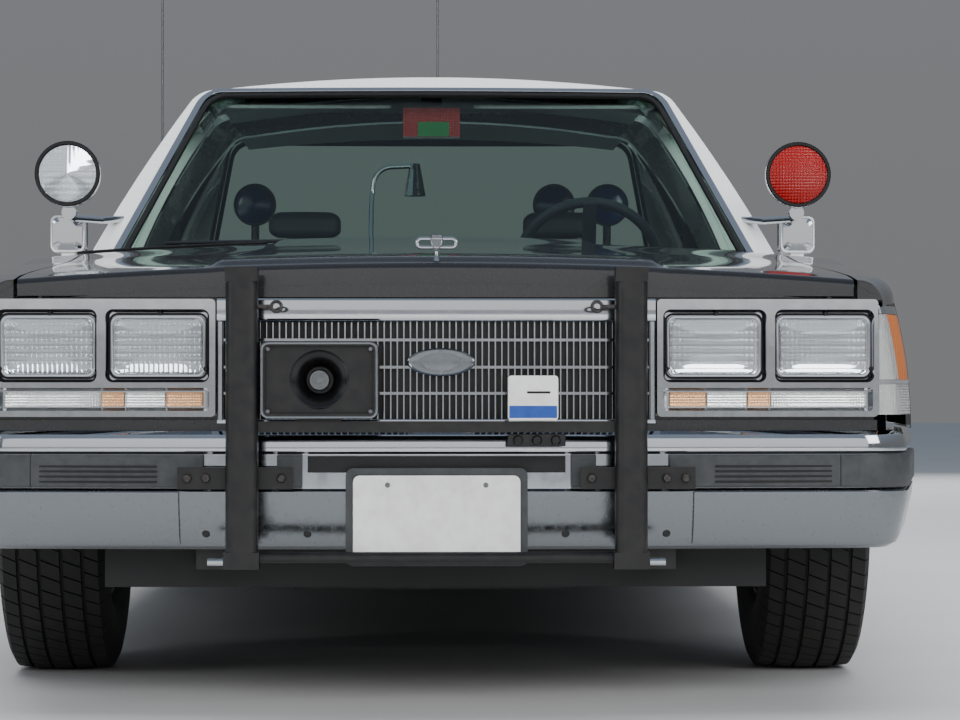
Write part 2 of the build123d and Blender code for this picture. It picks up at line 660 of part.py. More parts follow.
def bumper_pads():
    """Ribbed rubber pads in the bumpers' grooves, outside the push bar at the front."""
    front = along_bumper(PAD_PROFILE, *FRONT_BUMPER)
    gap_half = UPRIGHT_X - 105
    front = front - block(-gap_half, gap_half, Y_BUMPER - 50, Y_BUMPER + 300, 0, ROOF_Z)
    front = front - block(UPRIGHT_X - 60, UPRIGHT_X + 75, Y_BUMPER - 50, Y_BUMPER + 300, 0, ROOF_Z)
    front = front - block(-UPRIGHT_X - 75, -UPRIGHT_X + 60, Y_BUMPER - 50, Y_BUMPER + 300, 0, ROOF_Z)
    rear = along_bumper(PAD_PROFILE, *REAR_BUMPER)
    joint = PAD_JOINT_X
    slit = block(joint, joint + FIT_GAP, Y_TIP, Y_REAR + 50, 0, ROOF_Z)
    pads = front + rear - slit - mirrored(slit)
    return Compound(children=[s for s in pads.solids() if s.volume > 1e4])


PLATE_SIZE = (304.8, 152.4)
PLATE_Z = 371
PLATE_FRAME = 14


def number_plates(front_channel, rear_panel_y):
    """Blank plates in their frames, at the bumper's middle and between the tail lamps."""
    frame_size = [side + 2 * PLATE_FRAME - 3 for side in PLATE_SIZE]
    front = rounded_plate(0, PLATE_Z, *frame_size, 14, Y_BUMPER - 16, Y_BUMPER + 6)
    front = front + rounded_plate(0, PLATE_Z, *PLATE_SIZE, 10, Y_BUMPER - 19, Y_BUMPER - 15)
    front = biggest(front - front_channel)
    rear_z = (LAMP_FOOT_Z + LID_LIP_Z) / 2
    rear = rounded_plate(0, rear_z, *frame_size, 14, rear_panel_y, rear_panel_y + 10)
    rear = rear + rounded_plate(0, rear_z, *PLATE_SIZE, 10, rear_panel_y + 9, rear_panel_y + 13)
    return Compound(children=[front] + rear.solids())


# Push bar and what it carries


UPRIGHT_TOP_Z = 822
UPRIGHT_FOOT_Z = 280
CROSSBAR_Z = 535
CROSSBAR = 20
STRAP_Z = 442


def push_bar(front_channel):
    """Two upright tubes joined by a crossbar and a lower tube, strapped to the bumper."""
    y0 = Y_TIP
    y1 = Y_TIP + UPRIGHT_DEPTH
    section = RectangleRounded(UPRIGHT_WIDTH, UPRIGHT_DEPTH, 16)
    upright = extrude(Pos(UPRIGHT_X, (y0 + y1) / 2, UPRIGHT_FOOT_Z) * section, UPRIGHT_TOP_Z - UPRIGHT_FOOT_Z)
    cap = block(UPRIGHT_X - UPRIGHT_WIDTH / 2, UPRIGHT_X + UPRIGHT_WIDTH / 2, y0, y1,
                UPRIGHT_TOP_Z - 26, UPRIGHT_TOP_Z)
    foot = block(UPRIGHT_X - UPRIGHT_WIDTH / 2 - 3, UPRIGHT_X + UPRIGHT_WIDTH / 2 + 3, y0, y1,
                 UPRIGHT_FOOT_Z, UPRIGHT_FOOT_Z + 30)
    strap = block(UPRIGHT_X - 90, UPRIGHT_X + 118, y1 - 4, y1 + 8, STRAP_Z - 20, STRAP_Z + 20)
    strut = block(UPRIGHT_X - 50, UPRIGHT_X + 62, y1 + 4, Y_BUMPER + BUMPER_BOW, STRAP_Z - 16, STRAP_Z + 16)
    low_strut = block(UPRIGHT_X - 20, UPRIGHT_X + 20, y1 - 4, Y_BUMPER + 90,
                      UPRIGHT_FOOT_Z + 6, UPRIGHT_FOOT_Z + 24)
    side = upright + cap + foot + strap + strut + low_strut
    bar = block(-UPRIGHT_X, UPRIGHT_X, y1 - CROSSBAR - 2, y1 - 2,
                CROSSBAR_Z - CROSSBAR / 2, CROSSBAR_Z + CROSSBAR / 2)
    low_tube = disc_x(-UPRIGHT_X, UPRIGHT_X, y1 - 16, UPRIGHT_FOOT_Z + 20, 10)
    return biggest(side + mirrored(side) + bar + low_tube - front_channel)


SPEAKER_X = -211
SPEAKER_SIZE = (211, 138)
SPEAKER_DEPTH = 64
SPEAKER_RIM = 8


def siren_speaker():
    """Square siren speaker with a round horn mouth, on the crossbar."""
    foot_z = CROSSBAR_Z + CROSSBAR / 2
    centre_z = foot_z + 6 + SPEAKER_SIZE[1] / 2
    y0 = Y_TIP + 8
    case = rounded_plate(SPEAKER_X, centre_z, *SPEAKER_SIZE, 12, y0, y0 + SPEAKER_DEPTH)
    mouth = Plane(origin=(SPEAKER_X, y0, centre_z), x_dir=(1, 0, 0), z_dir=(0, 1, 0))
    opening = RectangleRounded(SPEAKER_SIZE[0] - 2 * SPEAKER_RIM, SPEAKER_SIZE[1] - 2 * SPEAKER_RIM, 10)
    case = case - extrude(mouth * opening, 14)
    dish = Plane(origin=(SPEAKER_X, y0 + 13, centre_z), x_dir=(1, 0, 0), z_dir=(0, 1, 0))
    case = case - extrude(dish * Circle(54), 34, taper=28)
    plug = disc_y(SPEAKER_X, y0 + 16, y0 + 60, centre_z, 18)
    foot = block(SPEAKER_X - 40, SPEAKER_X + 40, y0 + 22, y0 + 40, foot_z, foot_z + 8)
    return case + plug + foot


def tag_box():
    """Small plain box on a bracket over the crossbar."""
    foot_z = CROSSBAR_Z + CROSSBAR / 2
    y0 = Y_TIP + 14
    box = rounded_plate(173, foot_z + 42, 90, 80, 6, y0, y0 + 24)
    foot = block(130, 216, y0 + 10, y0 + 34, foot_z, foot_z + 6)
    return box + foot


SPOT_X = HALF_WIDTH - 122
SPOT_Z = 1101
SPOT_RADIUS = 76
SPOT_FACE_Y = Y_COWL - 8


def spotlights(roof_shell):
    """Round spotlights on bent arms from the windshield pillars."""
    profile = [(0, 0), (6, 60), (10, SPOT_RADIUS - 4), (2, SPOT_RADIUS), (14, SPOT_RADIUS + 1),
               (26, SPOT_RADIUS - 1), (34, 70), (70, 58), (100, 30), (112, 0)]
    face = make_face(Polyline(*profile, close=True))
    head = revolve(face, Axis.X)
    head = Plane(origin=(SPOT_X, SPOT_FACE_Y, SPOT_Z), x_dir=(0, 1, 0), z_dir=(0, 0, 1)) * head
    neck_y = SPOT_FACE_Y + 45
    bend_z = SPOT_Z - 100
    arm = tube([(SPOT_X, neck_y, SPOT_Z - 62), (SPOT_X, neck_y, bend_z), (SPOT_X - 62, neck_y + 100, bend_z),
                (SPOT_X - 110, neck_y + 215, bend_z + 8)], [16, 24], 9)
    collar = disc_y(SPOT_X, neck_y - 14, neck_y + 14, SPOT_Z - 88, 17)
    left = head + arm + collar
    return pair(biggest(left - roof_shell))


# Under the body


FRAME_RAIL = 66
# Frame rail: place along the car, distance of the rail's middle from the centre, height of its underside
RAIL_LINE = (
    (Y_BUMPER + 95, 410, 270),
    (Y_FRONT_AXLE + 380, 410, 270),
    (Y_FRONT_AXLE + 480, 470, 220),
    (Y_FRONT_AXLE + 700, 700, 220),
    (Y_REAR_AXLE - 680, 700, 220),
    (Y_REAR_AXLE - 370, 520, 220),
    (Y_REAR_AXLE - 290, 520, 220),
    (Y_REAR_AXLE - 90, 520, 430),
    (Y_REAR_AXLE + 330, 520, 430),
    (Y_REAR_AXLE + 620, 520, 360),
    (Y_REAR - 110, 520, 360),
)
RAIL_FRONT_Z = 270
RAIL_KICK_Z = 430
RAIL_HEIGHT = 80
PAD_RADIUS = 45
PAD_FOOT_Z = 212
LIFT_X = 700
LIFT_FRONT_Y = Y_FRONT_AXLE + 850
LIFT_REAR_Y = Y_REAR_AXLE - 760
AXLE_BEAM_TOP_Z = 350


def chassis_frame(channels):
    """Perimeter frame: kicked-up box rails, crossmembers, body mounts, bumper brackets and lift pads."""
    half = FRAME_RAIL / 2
    plan = [(x - half, y) for y, x, _ in RAIL_LINE] + [(x + half, y) for y, x, _ in reversed(RAIL_LINE)]
    side = [(y, z) for y, _, z in RAIL_LINE] + [(y, z + RAIL_HEIGHT) for y, _, z in reversed(RAIL_LINE)]
    rail = prism_z(plan, 0, BELT_Z) & prism_x(side, 0, HALF_WIDTH)
    front_end, rear_end = RAIL_LINE[0][0], RAIL_LINE[-1][0]
    for y in (LIFT_FRONT_Y, (LIFT_FRONT_Y + LIFT_REAR_Y) / 2, LIFT_REAR_Y):
        rail = rail + post_z(LIFT_X, y, 240, FLOOR_TOP_Z - FLOOR_THICKNESS, 30)
    for y in (LIFT_FRONT_Y, LIFT_REAR_Y):
        rail = rail + post_z(LIFT_X, y, PAD_FOOT_Z, 240, PAD_RADIUS)
    front_bracket = block(385, 435, Y_BUMPER - 20, front_end + 5, 318, 348)
    rail = rail + rearmost(front_bracket - channels[0])
    rear_bracket = block(495, 545, rear_end - 5, Y_REAR + 20, 388, 418)
    offcuts = (rear_bracket - channels[1]).solids()
    rail = rail + min(offcuts, key=lambda solid: solid.center().Y)
    # Crossmembers: front and rear edge, underside, top, half width
    members = (
        (Y_BUMPER + 190, Y_BUMPER + 260, 280, 330, 410),
        (Y_FRONT_AXLE - 60, Y_FRONT_AXLE + 60, 280, AXLE_BEAM_TOP_Z, 410),
        (Y_FRONT_AXLE - 50, Y_FRONT_AXLE + 50, 172, 281, 300),
        (Y_FRONT_AXLE + 860, Y_FRONT_AXLE + 930, 262, 300, 700),
        (Y_REAR - 260, Y_REAR - 200, 370, 430, 520),
    )
    frame = rail + mirrored(rail)
    for y0, y1, z0, z1, reach in members:
        frame = frame + block(-reach, reach, y0, y1, z0, z1)
    return frame


TUNNEL_HALF = 150
TUNNEL_TOP_Z = 520
FIREWALL_Y = Y_COWL + 24
TRUNK_FLOOR_Z = BUMPER_TOP_Z + 14
RISER_Y = Y_REAR_DOOR_END + 18
FLOOR_FOOT_Z = FLOOR_TOP_Z - FLOOR_THICKNESS
REAR_HOUSE_RADIUS = 402
FRONT_HOUSE_RADIUS = 408
HOUSE_WALL = 8
APRON_X = 462
HOUSE_OUTER_X = HALF_WIDTH - 50
REAR_HOUSE_X = 650


def wheelhouse(axle_y, radius, inner_x):
    """Half-round liner over a wheel with its upright inner wall."""
    skin = disc_x(inner_x, HOUSE_OUTER_X, axle_y, ARCH_Z, radius + HOUSE_WALL)
    skin = skin - disc_x(inner_x + HOUSE_WALL, HOUSE_OUTER_X + 1, axle_y, ARCH_Z, radius)
    return skin & block(0, HALF_WIDTH, axle_y - 500, axle_y + 500, ARCH_Z + 44, BELT_Z)


TUNNEL_WALL = 12
HUMP = (
    (-TUNNEL_HALF, FLOOR_FOOT_Z), (-TUNNEL_HALF + 35, TUNNEL_TOP_Z),
    (TUNNEL_HALF - 35, TUNNEL_TOP_Z), (TUNNEL_HALF, FLOOR_FOOT_Z),
)
TUNNEL = (
    (-TUNNEL_HALF + TUNNEL_WALL, FLOOR_FOOT_Z - 1), (-TUNNEL_HALF + 45, TUNNEL_TOP_Z - TUNNEL_WALL),
    (TUNNEL_HALF - 45, TUNNEL_TOP_Z - TUNNEL_WALL), (TUNNEL_HALF - TUNNEL_WALL, FLOOR_FOOT_Z - 1),
)


def floor_pan():
    """Cabin floor with its tunnel, the two sills and the firewall."""
    rear_y = RISER_Y - 10
    floor = block(-DOOR_INNER_X, DOOR_INNER_X, FIREWALL_Y, rear_y, FLOOR_FOOT_Z, FLOOR_TOP_Z)
    corner = block(REAR_HOUSE_X, DOOR_INNER_X + 1, SILL_END_Y, RISER_Y + 1, FLOOR_FOOT_Z - 1, FLOOR_TOP_Z + 1)
    floor = floor - corner - mirrored(corner)
    sill = body(COWL, BACKLIGHT) & block(DOOR_INNER_X - 20, HALF_WIDTH, Y_DOOR + 1, SILL_END_Y - SHUT_GAP,
                                         SILL_Z, FLOOR_TOP_Z)
    wall_half = POST_INNER_X - 10
    firewall = block(-wall_half, wall_half, FIREWALL_Y - 10, FIREWALL_Y, FLOOR_FOOT_Z, CABIN_FOOT_Z + 10)
    shell = floor + sill + mirrored(sill) + firewall + prism_y(HUMP, FIREWALL_Y - 10, rear_y)
    return shell - prism_y(TUNNEL, FIREWALL_Y - 20, RISER_Y)


def engine_aprons():
    """Inner walls of the engine bay with the front wheelhouses."""
    house = wheelhouse(Y_FRONT_AXLE, FRONT_HOUSE_RADIUS, APRON_X)
    apron = block(APRON_X, APRON_X + HOUSE_WALL, Y_LAMPS + 10, FIREWALL_Y - 10, 400, 800)
    arm_notch = block(APRON_X - 1, APRON_X + 20, Y_FRONT_AXLE - 110, Y_FRONT_AXLE + 110, 300, 500)
    inside = body(NOSE, COWL, SHEET + FIT_GAP)
    return pair(((house & inside) + apron) - arm_notch)


def trunk_floor():
    """Trunk floor with the riser in front of it and the rear wheelhouses."""
    riser = block(-REAR_HOUSE_X, REAR_HOUSE_X, RISER_Y - 10, RISER_Y, FLOOR_FOOT_Z, TRUNK_FLOOR_Z)
    riser = riser - prism_y(TUNNEL, RISER_Y - 20, RISER_Y + 10)
    deck = block(-REAR_HOUSE_X, REAR_HOUSE_X, RISER_Y - 10, Y_TAIL - 33, TRUNK_FLOOR_Z - 10, TRUNK_FLOOR_Z)
    wing_x = HOUSE_OUTER_X - 50
    wings = block(-wing_x, wing_x, Y_REAR_AXLE + REAR_HOUSE_RADIUS + 30, Y_TAIL - 33,
                  TRUNK_FLOOR_Z - 10, TRUNK_FLOOR_Z)
    house = wheelhouse(Y_REAR_AXLE, REAR_HOUSE_RADIUS, REAR_HOUSE_X)
    return riser + deck + wings + house + mirrored(house)


AIR_DAM_Y = Y_BUMPER + 190


def air_dam():
    """Black sheet hung from the front crossmember, notched round the frame rails."""
    sheet = block(-620, 620, AIR_DAM_Y - 8, AIR_DAM_Y, 232, 332)
    notch = block(RAIL_LINE[0][1] - 37, RAIL_LINE[0][1] + 37, AIR_DAM_Y - 9, AIR_DAM_Y + 1, 266, 340)
    return sheet - notch - mirrored(notch)


ENGINE = ((-270, 270), (Y_FRONT_AXLE - 500, Y_FRONT_AXLE + 170), (AXLE_BEAM_TOP_Z, 790))
GEARBOX_Z = 405


def engine_block():
    """Engine, as one plain block on the front crossmember."""
    (x0, x1), (y0, y1), (z0, z1) = ENGINE
    return block(x0, x1, y0, y1, z0, z1)


def radiator():
    """Radiator core with its two side tanks, on the front crossmember."""
    core = block(-330, 330, Y_BUMPER + 205, Y_BUMPER + 245, 330, 780)
    tank = block(330, 368, Y_BUMPER + 195, Y_BUMPER + 255, 330, 780)
    return core + tank + mirrored(tank)


DIFF_RADIUS = 130


def driveline():
    """Gearbox behind the engine and the propeller shaft back to the axle."""
    start = ENGINE[1][1]
    gearbox = disc_y(0, start, start + 220, GEARBOX_Z, 98)
    gearbox = gearbox + disc_y(0, start + 219, start + 640, GEARBOX_Z, 72)
    path = Line((0, start + 600, GEARBOX_Z), (0, Y_REAR_AXLE - DIFF_RADIUS * 0.8, TYRE_RADIUS + 4))
    shaft = sweep(Plane(origin=path @ 0, z_dir=path % 0) * Circle(38), path)
    return gearbox + shaft


def rear_axle(shaft):
    """Live axle: tubes, differential, drums, wheel spindles and springs up to the frame."""
    drum_outer = WHEEL_X - 36
    axle = disc_x(-drum_outer + 50, drum_outer - 50, Y_REAR_AXLE, TYRE_RADIUS, 40)
    axle = axle + Pos(0, Y_REAR_AXLE, TYRE_RADIUS) * Sphere(DIFF_RADIUS)
    side = disc_x(drum_outer - 54, drum_outer, Y_REAR_AXLE, TYRE_RADIUS, 128)
    side = side + disc_x(drum_outer - 4, WHEEL_X + 45, Y_REAR_AXLE, TYRE_RADIUS, SPINDLE_RADIUS)
    side = side + post_z(RAIL_LINE[-1][1], Y_REAR_AXLE, TYRE_RADIUS + 20, RAIL_KICK_Z, 50)
    return biggest(axle + side + mirrored(side) - shaft)


def fuel_tank():
    """Flat tank slung under the trunk floor."""
    tank = block(-350, 350, Y_REAR_AXLE + 330, Y_REAR_AXLE + 800, 345, TRUNK_FLOOR_Z - 10)
    return fillet(tank.edges().filter_by(Axis.Z), 60)


def exhaust():
    """Pipe from the engine, muffler under the floor, and tail pipe over the axle."""
    start = ENGINE[1][1]
    x = -330
    tail_x = -422
    low_z, over_axle_z = 228, 436
    line = [(-200, start, 420), (-200, start + 110, 420),
            (x, start + 330, low_z), (x, Y_REAR_AXLE - 330, low_z),
            (tail_x, Y_REAR_AXLE - 150, over_axle_z), (tail_x, Y_REAR_AXLE + 300, over_axle_z),
            (tail_x, Y_REAR_AXLE + 620, low_z + 34), (tail_x, Y_REAR - 40, low_z + 18)]
    pipe = tube(line, [60] * (len(line) - 2), 27)
    muffler = disc_y(x, Y_B_PILLAR + 100, Y_B_PILLAR + 680, low_z, 74)
    return pipe + muffler


KNUCKLE_LOW_Z = TYRE_RADIUS - BALL_JOINT_DROP
KNUCKLE_HIGH_Z = TYRE_RADIUS + BALL_JOINT_DROP
EYE_RADIUS = 30
ARM_HALF = 26


def control_arm(z0, z1, rail_z0, rail_z1):
    """One wishbone from the frame rail to the eye round the knuckle's pin."""
    root_x = RAIL_LINE[0][1] + FRAME_RAIL / 2
    plan = [(root_x - 20, Y_FRONT_AXLE - 95), (root_x - 20, Y_FRONT_AXLE + 95),
            (KINGPIN_X - 60, Y_FRONT_AXLE + ARM_HALF), (KINGPIN_X, Y_FRONT_AXLE + ARM_HALF),
            (KINGPIN_X, Y_FRONT_AXLE - ARM_HALF), (KINGPIN_X - 60, Y_FRONT_AXLE - ARM_HALF)]
    arm = prism_z(plan, z0, z1) + post_z(KINGPIN_X, Y_FRONT_AXLE, z0, z1, EYE_RADIUS)
    arm = arm + block(root_x - 50, root_x, Y_FRONT_AXLE - 40, Y_FRONT_AXLE + 40, rail_z0, rail_z1)
    return arm - post_z(KINGPIN_X, Y_FRONT_AXLE, z0 - 1, z1 + 1, KINGPIN_RADIUS + RUNNING_CLEARANCE)


def front_suspension():
    """Upper and lower wishbones of both front wheels."""
    lower = control_arm(KNUCKLE_LOW_Z - 10, KNUCKLE_LOW_Z + 10, KNUCKLE_LOW_Z - 10, RAIL_FRONT_Z)
    upper = control_arm(KNUCKLE_HIGH_Z - 10, KNUCKLE_HIGH_Z + 10,
                        RAIL_FRONT_Z + RAIL_HEIGHT, KNUCKLE_HIGH_Z + 10)
    return Compound(children=pair(lower).solids() + pair(upper).solids())


def knuckle():
    """Left steering knuckle: post with pins at both ends, spindle, brake plate and steering arm."""
    post = post_z(KINGPIN_X, Y_FRONT_AXLE, KNUCKLE_LOW_Z + 15, KNUCKLE_HIGH_Z - 15, 22)
    pins = post_z(KINGPIN_X, Y_FRONT_AXLE, KNUCKLE_LOW_Z - 14, KNUCKLE_HIGH_Z + 14, KINGPIN_RADIUS)
    spindle = disc_x(KINGPIN_X, WHEEL_X + 45, Y_FRONT_AXLE, TYRE_RADIUS, SPINDLE_RADIUS)
    plate = disc_x(WHEEL_X - 46, WHEEL_X - 38, Y_FRONT_AXLE, TYRE_RADIUS, 80)
    arm = prism_z([(KINGPIN_X - 6, Y_FRONT_AXLE), (KINGPIN_X - 62, Y_FRONT_AXLE + 118),
                   (KINGPIN_X - 82, Y_FRONT_AXLE + 112), (KINGPIN_X - 30, Y_FRONT_AXLE - 6)],
                  TYRE_RADIUS - 50, TYRE_RADIUS - 34)
    return post + pins + spindle + plate + arm


# Wheels


def tyre(x, y):
    """Solid tyre ring with bulged sidewalls and a bowed tread."""
    half = TYRE_WIDTH / 2
    bead = RIM_WIDTH / 2
    mid = (RIM_RADIUS + TYRE_RADIUS) / 2
    wall, wall_r = half - 6, TYRE_RADIUS - 22
    tread, tread_r = half - 15, TYRE_RADIUS - 6
    edges = [
        Line((-bead, RIM_RADIUS), (bead, RIM_RADIUS)),
        ThreePointArc((bead, RIM_RADIUS), (half, mid), (wall, wall_r)),
        Line((wall, wall_r), (tread, tread_r)),
        ThreePointArc((tread, tread_r), (0, TYRE_RADIUS), (-tread, tread_r)),
        Line((-tread, tread_r), (-wall, wall_r)),
        ThreePointArc((-wall, wall_r), (-half, mid), (-bead, RIM_RADIUS)),
    ]
    return Pos(x, y, TYRE_RADIUS) * revolve(Face(Wire(edges)), Axis.X)


VENTS = 10


def rim(x, y, side):
    """Steel wheel with a vented disc, blind hub bore and small cap; side is 1 on the left."""
    bead = RIM_WIDTH / 2
    bore = SPINDLE_RADIUS + RUNNING_CLEARANCE
    front = [(bead, RIM_RADIUS), (bead, 183), (58, 178), (45, 150), (34, 118), (42, 72), (56, 66), (64, 40)]
    hub = [(66, 0), (50, 0), (50, bore), (-30, bore), (-30, 48)]
    back = [(22, 58), (20, 118), (28, 154), (34, 178), (-86, 181), (-bead, 184), (-bead, RIM_RADIUS)]
    profile = front + hub + back
    wheel = revolve(make_face(Polyline(*profile, close=True)), Axis.X)
    for i in range(VENTS):
        angle = 2 * pi * i / VENTS
        wheel = wheel - disc_x(0, 60, 136 * cos(angle), 136 * sin(angle), 13)
    if side < 0:
        wheel = mirrored(wheel)
    return Pos(x, y, TYRE_RADIUS) * wheel


# Moving panels


def hood():
    """Hood with a raised middle that steps down at its edges and front, and a small stand-up ornament."""
    skin = body_shell(NOSE, COWL, HOOD_DEPTH)
    front_y = Y_NOSE + 4
    outline = [(-hood_edge(front_y, 0), front_y), (hood_edge(front_y, 0), front_y),
               (hood_edge(HOOD_REAR_Y, 0), HOOD_REAR_Y), (-hood_edge(HOOD_REAR_Y, 0), HOOD_REAR_Y)]
    panel = biggest(skin & prism_z(outline, LAMP_TOP_Z, ROOF_Z))
    lift = 10
    raised = body(NOSE, COWL).moved(Location((0, 0, lift))) - body(NOSE, COWL, 5)
    middle = [(-396, front_y + 26), (396, front_y + 26), (340, HOOD_REAR_Y), (-340, HOOD_REAR_Y)]
    raised = raised & prism_z(middle, LAMP_TOP_Z, ROOF_Z)
    stem = post_z(0, front_y + 24, 826, 872, 3)
    ring_outer = rounded_plate(0, 872, 80, 24, 11, front_y + 21, front_y + 27)
    ring_inner = rounded_plate(0, 872, 66, 12, 5, front_y + 20, front_y + 28)
    return panel + raised + stem + (ring_outer - ring_inner)


def trunk_lid():
    """Trunk lid with its short rear face."""
    skin = body_shell(BACKLIGHT, TAIL, HOOD_DEPTH)
    lid = skin & block(-LID_HALF, LID_HALF, Y_DECK, Y_TAIL, LID_LIP_Z, ROOF_Z)
    lip = body(DECK, TAIL) & block(-LID_HALF, LID_HALF, Y_TAIL - HOOD_DEPTH, Y_TAIL, LID_LIP_Z, ROOF_Z)
    return biggest(lid) + lip


def window_face(frame_points):
    """Window outline in side view: the door's upper outline less the frame's width."""
    foot = BELT_Z + 36
    face = make_face(Polyline(*[(y, z) for y, z in frame_points], close=True))
    face = offset(face, -FRAME_WIDTH, kind=Kind.INTERSECTION)
    return face & Pos(0, foot + 500) * Rectangle(4 * LENGTH, 1000)


def through(face, grow=0):
    """A side-view face carried through the left half of the car."""
    if grow:
        face = offset(face, grow, kind=Kind.INTERSECTION)
    return extrude(Plane(origin=(0, 0, 0), x_dir=(0, 1, 0), z_dir=(1, 0, 0)) * face, HALF_WIDTH + 50)


def door(frame_points, front_y, rear_y):
    """Left door as thick as the real one: lower body plus a window frame."""
    far = HALF_WIDTH + 10
    plan = [(DOOR_INNER_X, front_y), (far, front_y), (far, rear_y), (DOOR_INNER_X, rear_y - JAMB_SLANT)]
    lower = body(COWL, BACKLIGHT) & prism_z(plan, DOOR_FOOT_Z, BELT_Z + 100)
    upper = (cabin() - cabin(FRAME_DEPTH)) & through(make_face(Polyline(*frame_points, close=True)))
    upper = upper - through(window_face(frame_points))
    return lower + upper


def front_door():
    """Left front door with its mirror."""
    panel = door(FRONT_FRAME, Y_DOOR, Y_B_PILLAR - SHUT_GAP)
    housing = block(HALF_WIDTH - 144, HALF_WIDTH - 64, Y_DOOR + 80, Y_DOOR + 140, 926, 1012)
    housing = fillet(housing.edges().filter_by(Axis.Y), 14)
    stalk = block(HALF_WIDTH - 120, HALF_WIDTH - 88, Y_DOOR + 90, Y_DOOR + 130, 890, 930)
    trim = moulding(Y_DOOR + MOULDING_END_GAP, Y_B_PILLAR - SHUT_GAP - MOULDING_END_GAP)
    return panel + housing + stalk + trim


def rear_door():
    """Left rear door, cut round the wheel opening with a slope that lets it swing."""
    panel = door(REAR_FRAME, Y_B_PILLAR + SHUT_GAP, Y_REAR_DOOR_END)
    cutter = Plane(origin=(DOOR_INNER_X - 1, Y_REAR_AXLE, ARCH_Z), x_dir=(0, 1, 0), z_dir=(1, 0, 0)) \
        * Cone(ARCH_RADIUS + ARCH_LIP + 34, ARCH_RADIUS + ARCH_LIP, DOOR_THICKNESS + 30,
               align=(Align.CENTER, Align.CENTER, Align.MIN))
    trim = moulding(Y_B_PILLAR + SHUT_GAP + MOULDING_END_GAP, Y_REAR_AXLE - ARCH_RADIUS - 2 * ARCH_LIP)
    return biggest(panel + trim - cutter)


def door_glass(frame_points):
    """Left door's window glass, a bowed sheet in its frame."""
    sheet = cabin(GLASS_IN) - cabin(GLASS_IN + GLASS)
    return biggest(sheet & through(window_face(frame_points), -FIT_GAP))


# Cabin fittings


WHEEL_RIM = 190
COLUMN_TILT = 26
WHEEL_CENTRE = (HALF_WIDTH - 582, Y_FRONT_AXLE + 1035, 906)
COLUMN_PIN = 12


def steering_plane(distance):
    """Plane across the steering column, a distance towards the driver from the wheel's centre."""
    axis = Vector(0, cos(radians(COLUMN_TILT)), sin(radians(COLUMN_TILT)))
    return Plane(origin=Vector(*WHEEL_CENTRE) + axis * distance, x_dir=(1, 0, 0), z_dir=axis)


def steering_wheel():
    """Rim, three spokes and a padded hub with a blind bore for the column's pin."""
    rim_ring = Torus(WHEEL_RIM - 13, 13)
    hub = Pos(0, 0, -22) * Cylinder(48, 60)
    bore = Pos(0, 0, -40) * Cylinder(COLUMN_PIN + RUNNING_CLEARANCE, 40)
    spokes = [Rot(0, 0, angle) * Pos(WHEEL_RIM / 2 + 8, 0, -12) * Box(WHEEL_RIM - 36, 34, 14)
              for angle in (0, 180, 270)]
    wheel = rim_ring + hub
    for spoke in spokes:
        wheel = wheel + spoke
    return steering_plane(0) * (wheel - bore)


def dashboard():
    """Instrument panel across the cabin with the steering column and its pin."""
    foot, top = 640, BELT_Z - 22
    wall = FIREWALL_Y
    profile = [(wall, foot), (wall, top - 6), (wall + 170, top), (wall + 300, top - 34),
               (wall + 345, top - 80), (wall + 320, foot + 90), (wall + 260, foot)]
    half = POST_INNER_X - 8
    panel = prism_x(profile, -half, half)
    cowling = [(wall + 200, top - 40), (wall + 220, top + 26), (wall + 350, top + 22), (wall + 362, top - 40)]
    hood_block = prism_x(cowling, WHEEL_CENTRE[0] - WHEEL_RIM, WHEEL_CENTRE[0] + WHEEL_RIM)
    column = extrude(steering_plane(-360) * Circle(34), 302)
    pin = extrude(steering_plane(-62) * Circle(COLUMN_PIN), 38)
    return panel + hood_block + column + pin


SEAT_HALF = 640


def front_seat():
    """Front bench with two head restraints."""
    y = Y_B_PILLAR
    base = block(-SEAT_HALF + 60, SEAT_HALF - 60, y - 440, y - 40, FLOOR_TOP_Z, 450)
    over_tunnel = block(-TUNNEL_HALF - 10, TUNNEL_HALF + 10, y - 520, y + 100,
                        FLOOR_TOP_Z - 1, TUNNEL_TOP_Z + 6)
    base = base - over_tunnel
    cushion = prism_x([(y - 500, 450), (y - 510, 590), (y - 60, 560), (y + 60, 990), (y + 180, 980),
                       (y + 80, 560), (y - 10, 450)], -SEAT_HALF, SEAT_HALF, 28)
    rest = prism_x([(y + 72, 1015), (y + 78, 1090), (y + 150, 1088), (y + 156, 1012)], 250, 450, 16)
    posts = block(290, 302, y + 105, y + 117, 960, 1030) + block(398, 410, y + 105, y + 117, 960, 1030)
    cushion = cushion - over_tunnel
    return base + cushion + rest + posts + mirrored(rest + posts)


SHELF_Z = 890


def rear_seat():
    """Rear bench from the floor to the parcel shelf."""
    y = RISER_Y - 12
    half = REAR_HOUSE_X - 12
    profile = [(y - 400, FLOOR_TOP_Z), (y - 470, 560), (y - 440, 600), (y - 180, 570), (y - 80, SHELF_Z - 8),
               (y, SHELF_Z - 8), (y, FLOOR_TOP_Z)]
    bench = prism_x(profile, -half, half)
    return bench - block(-TUNNEL_HALF - 4, TUNNEL_HALF + 4, y - 480, y + 1, FLOOR_TOP_Z - 1, TUNNEL_TOP_Z + 4)


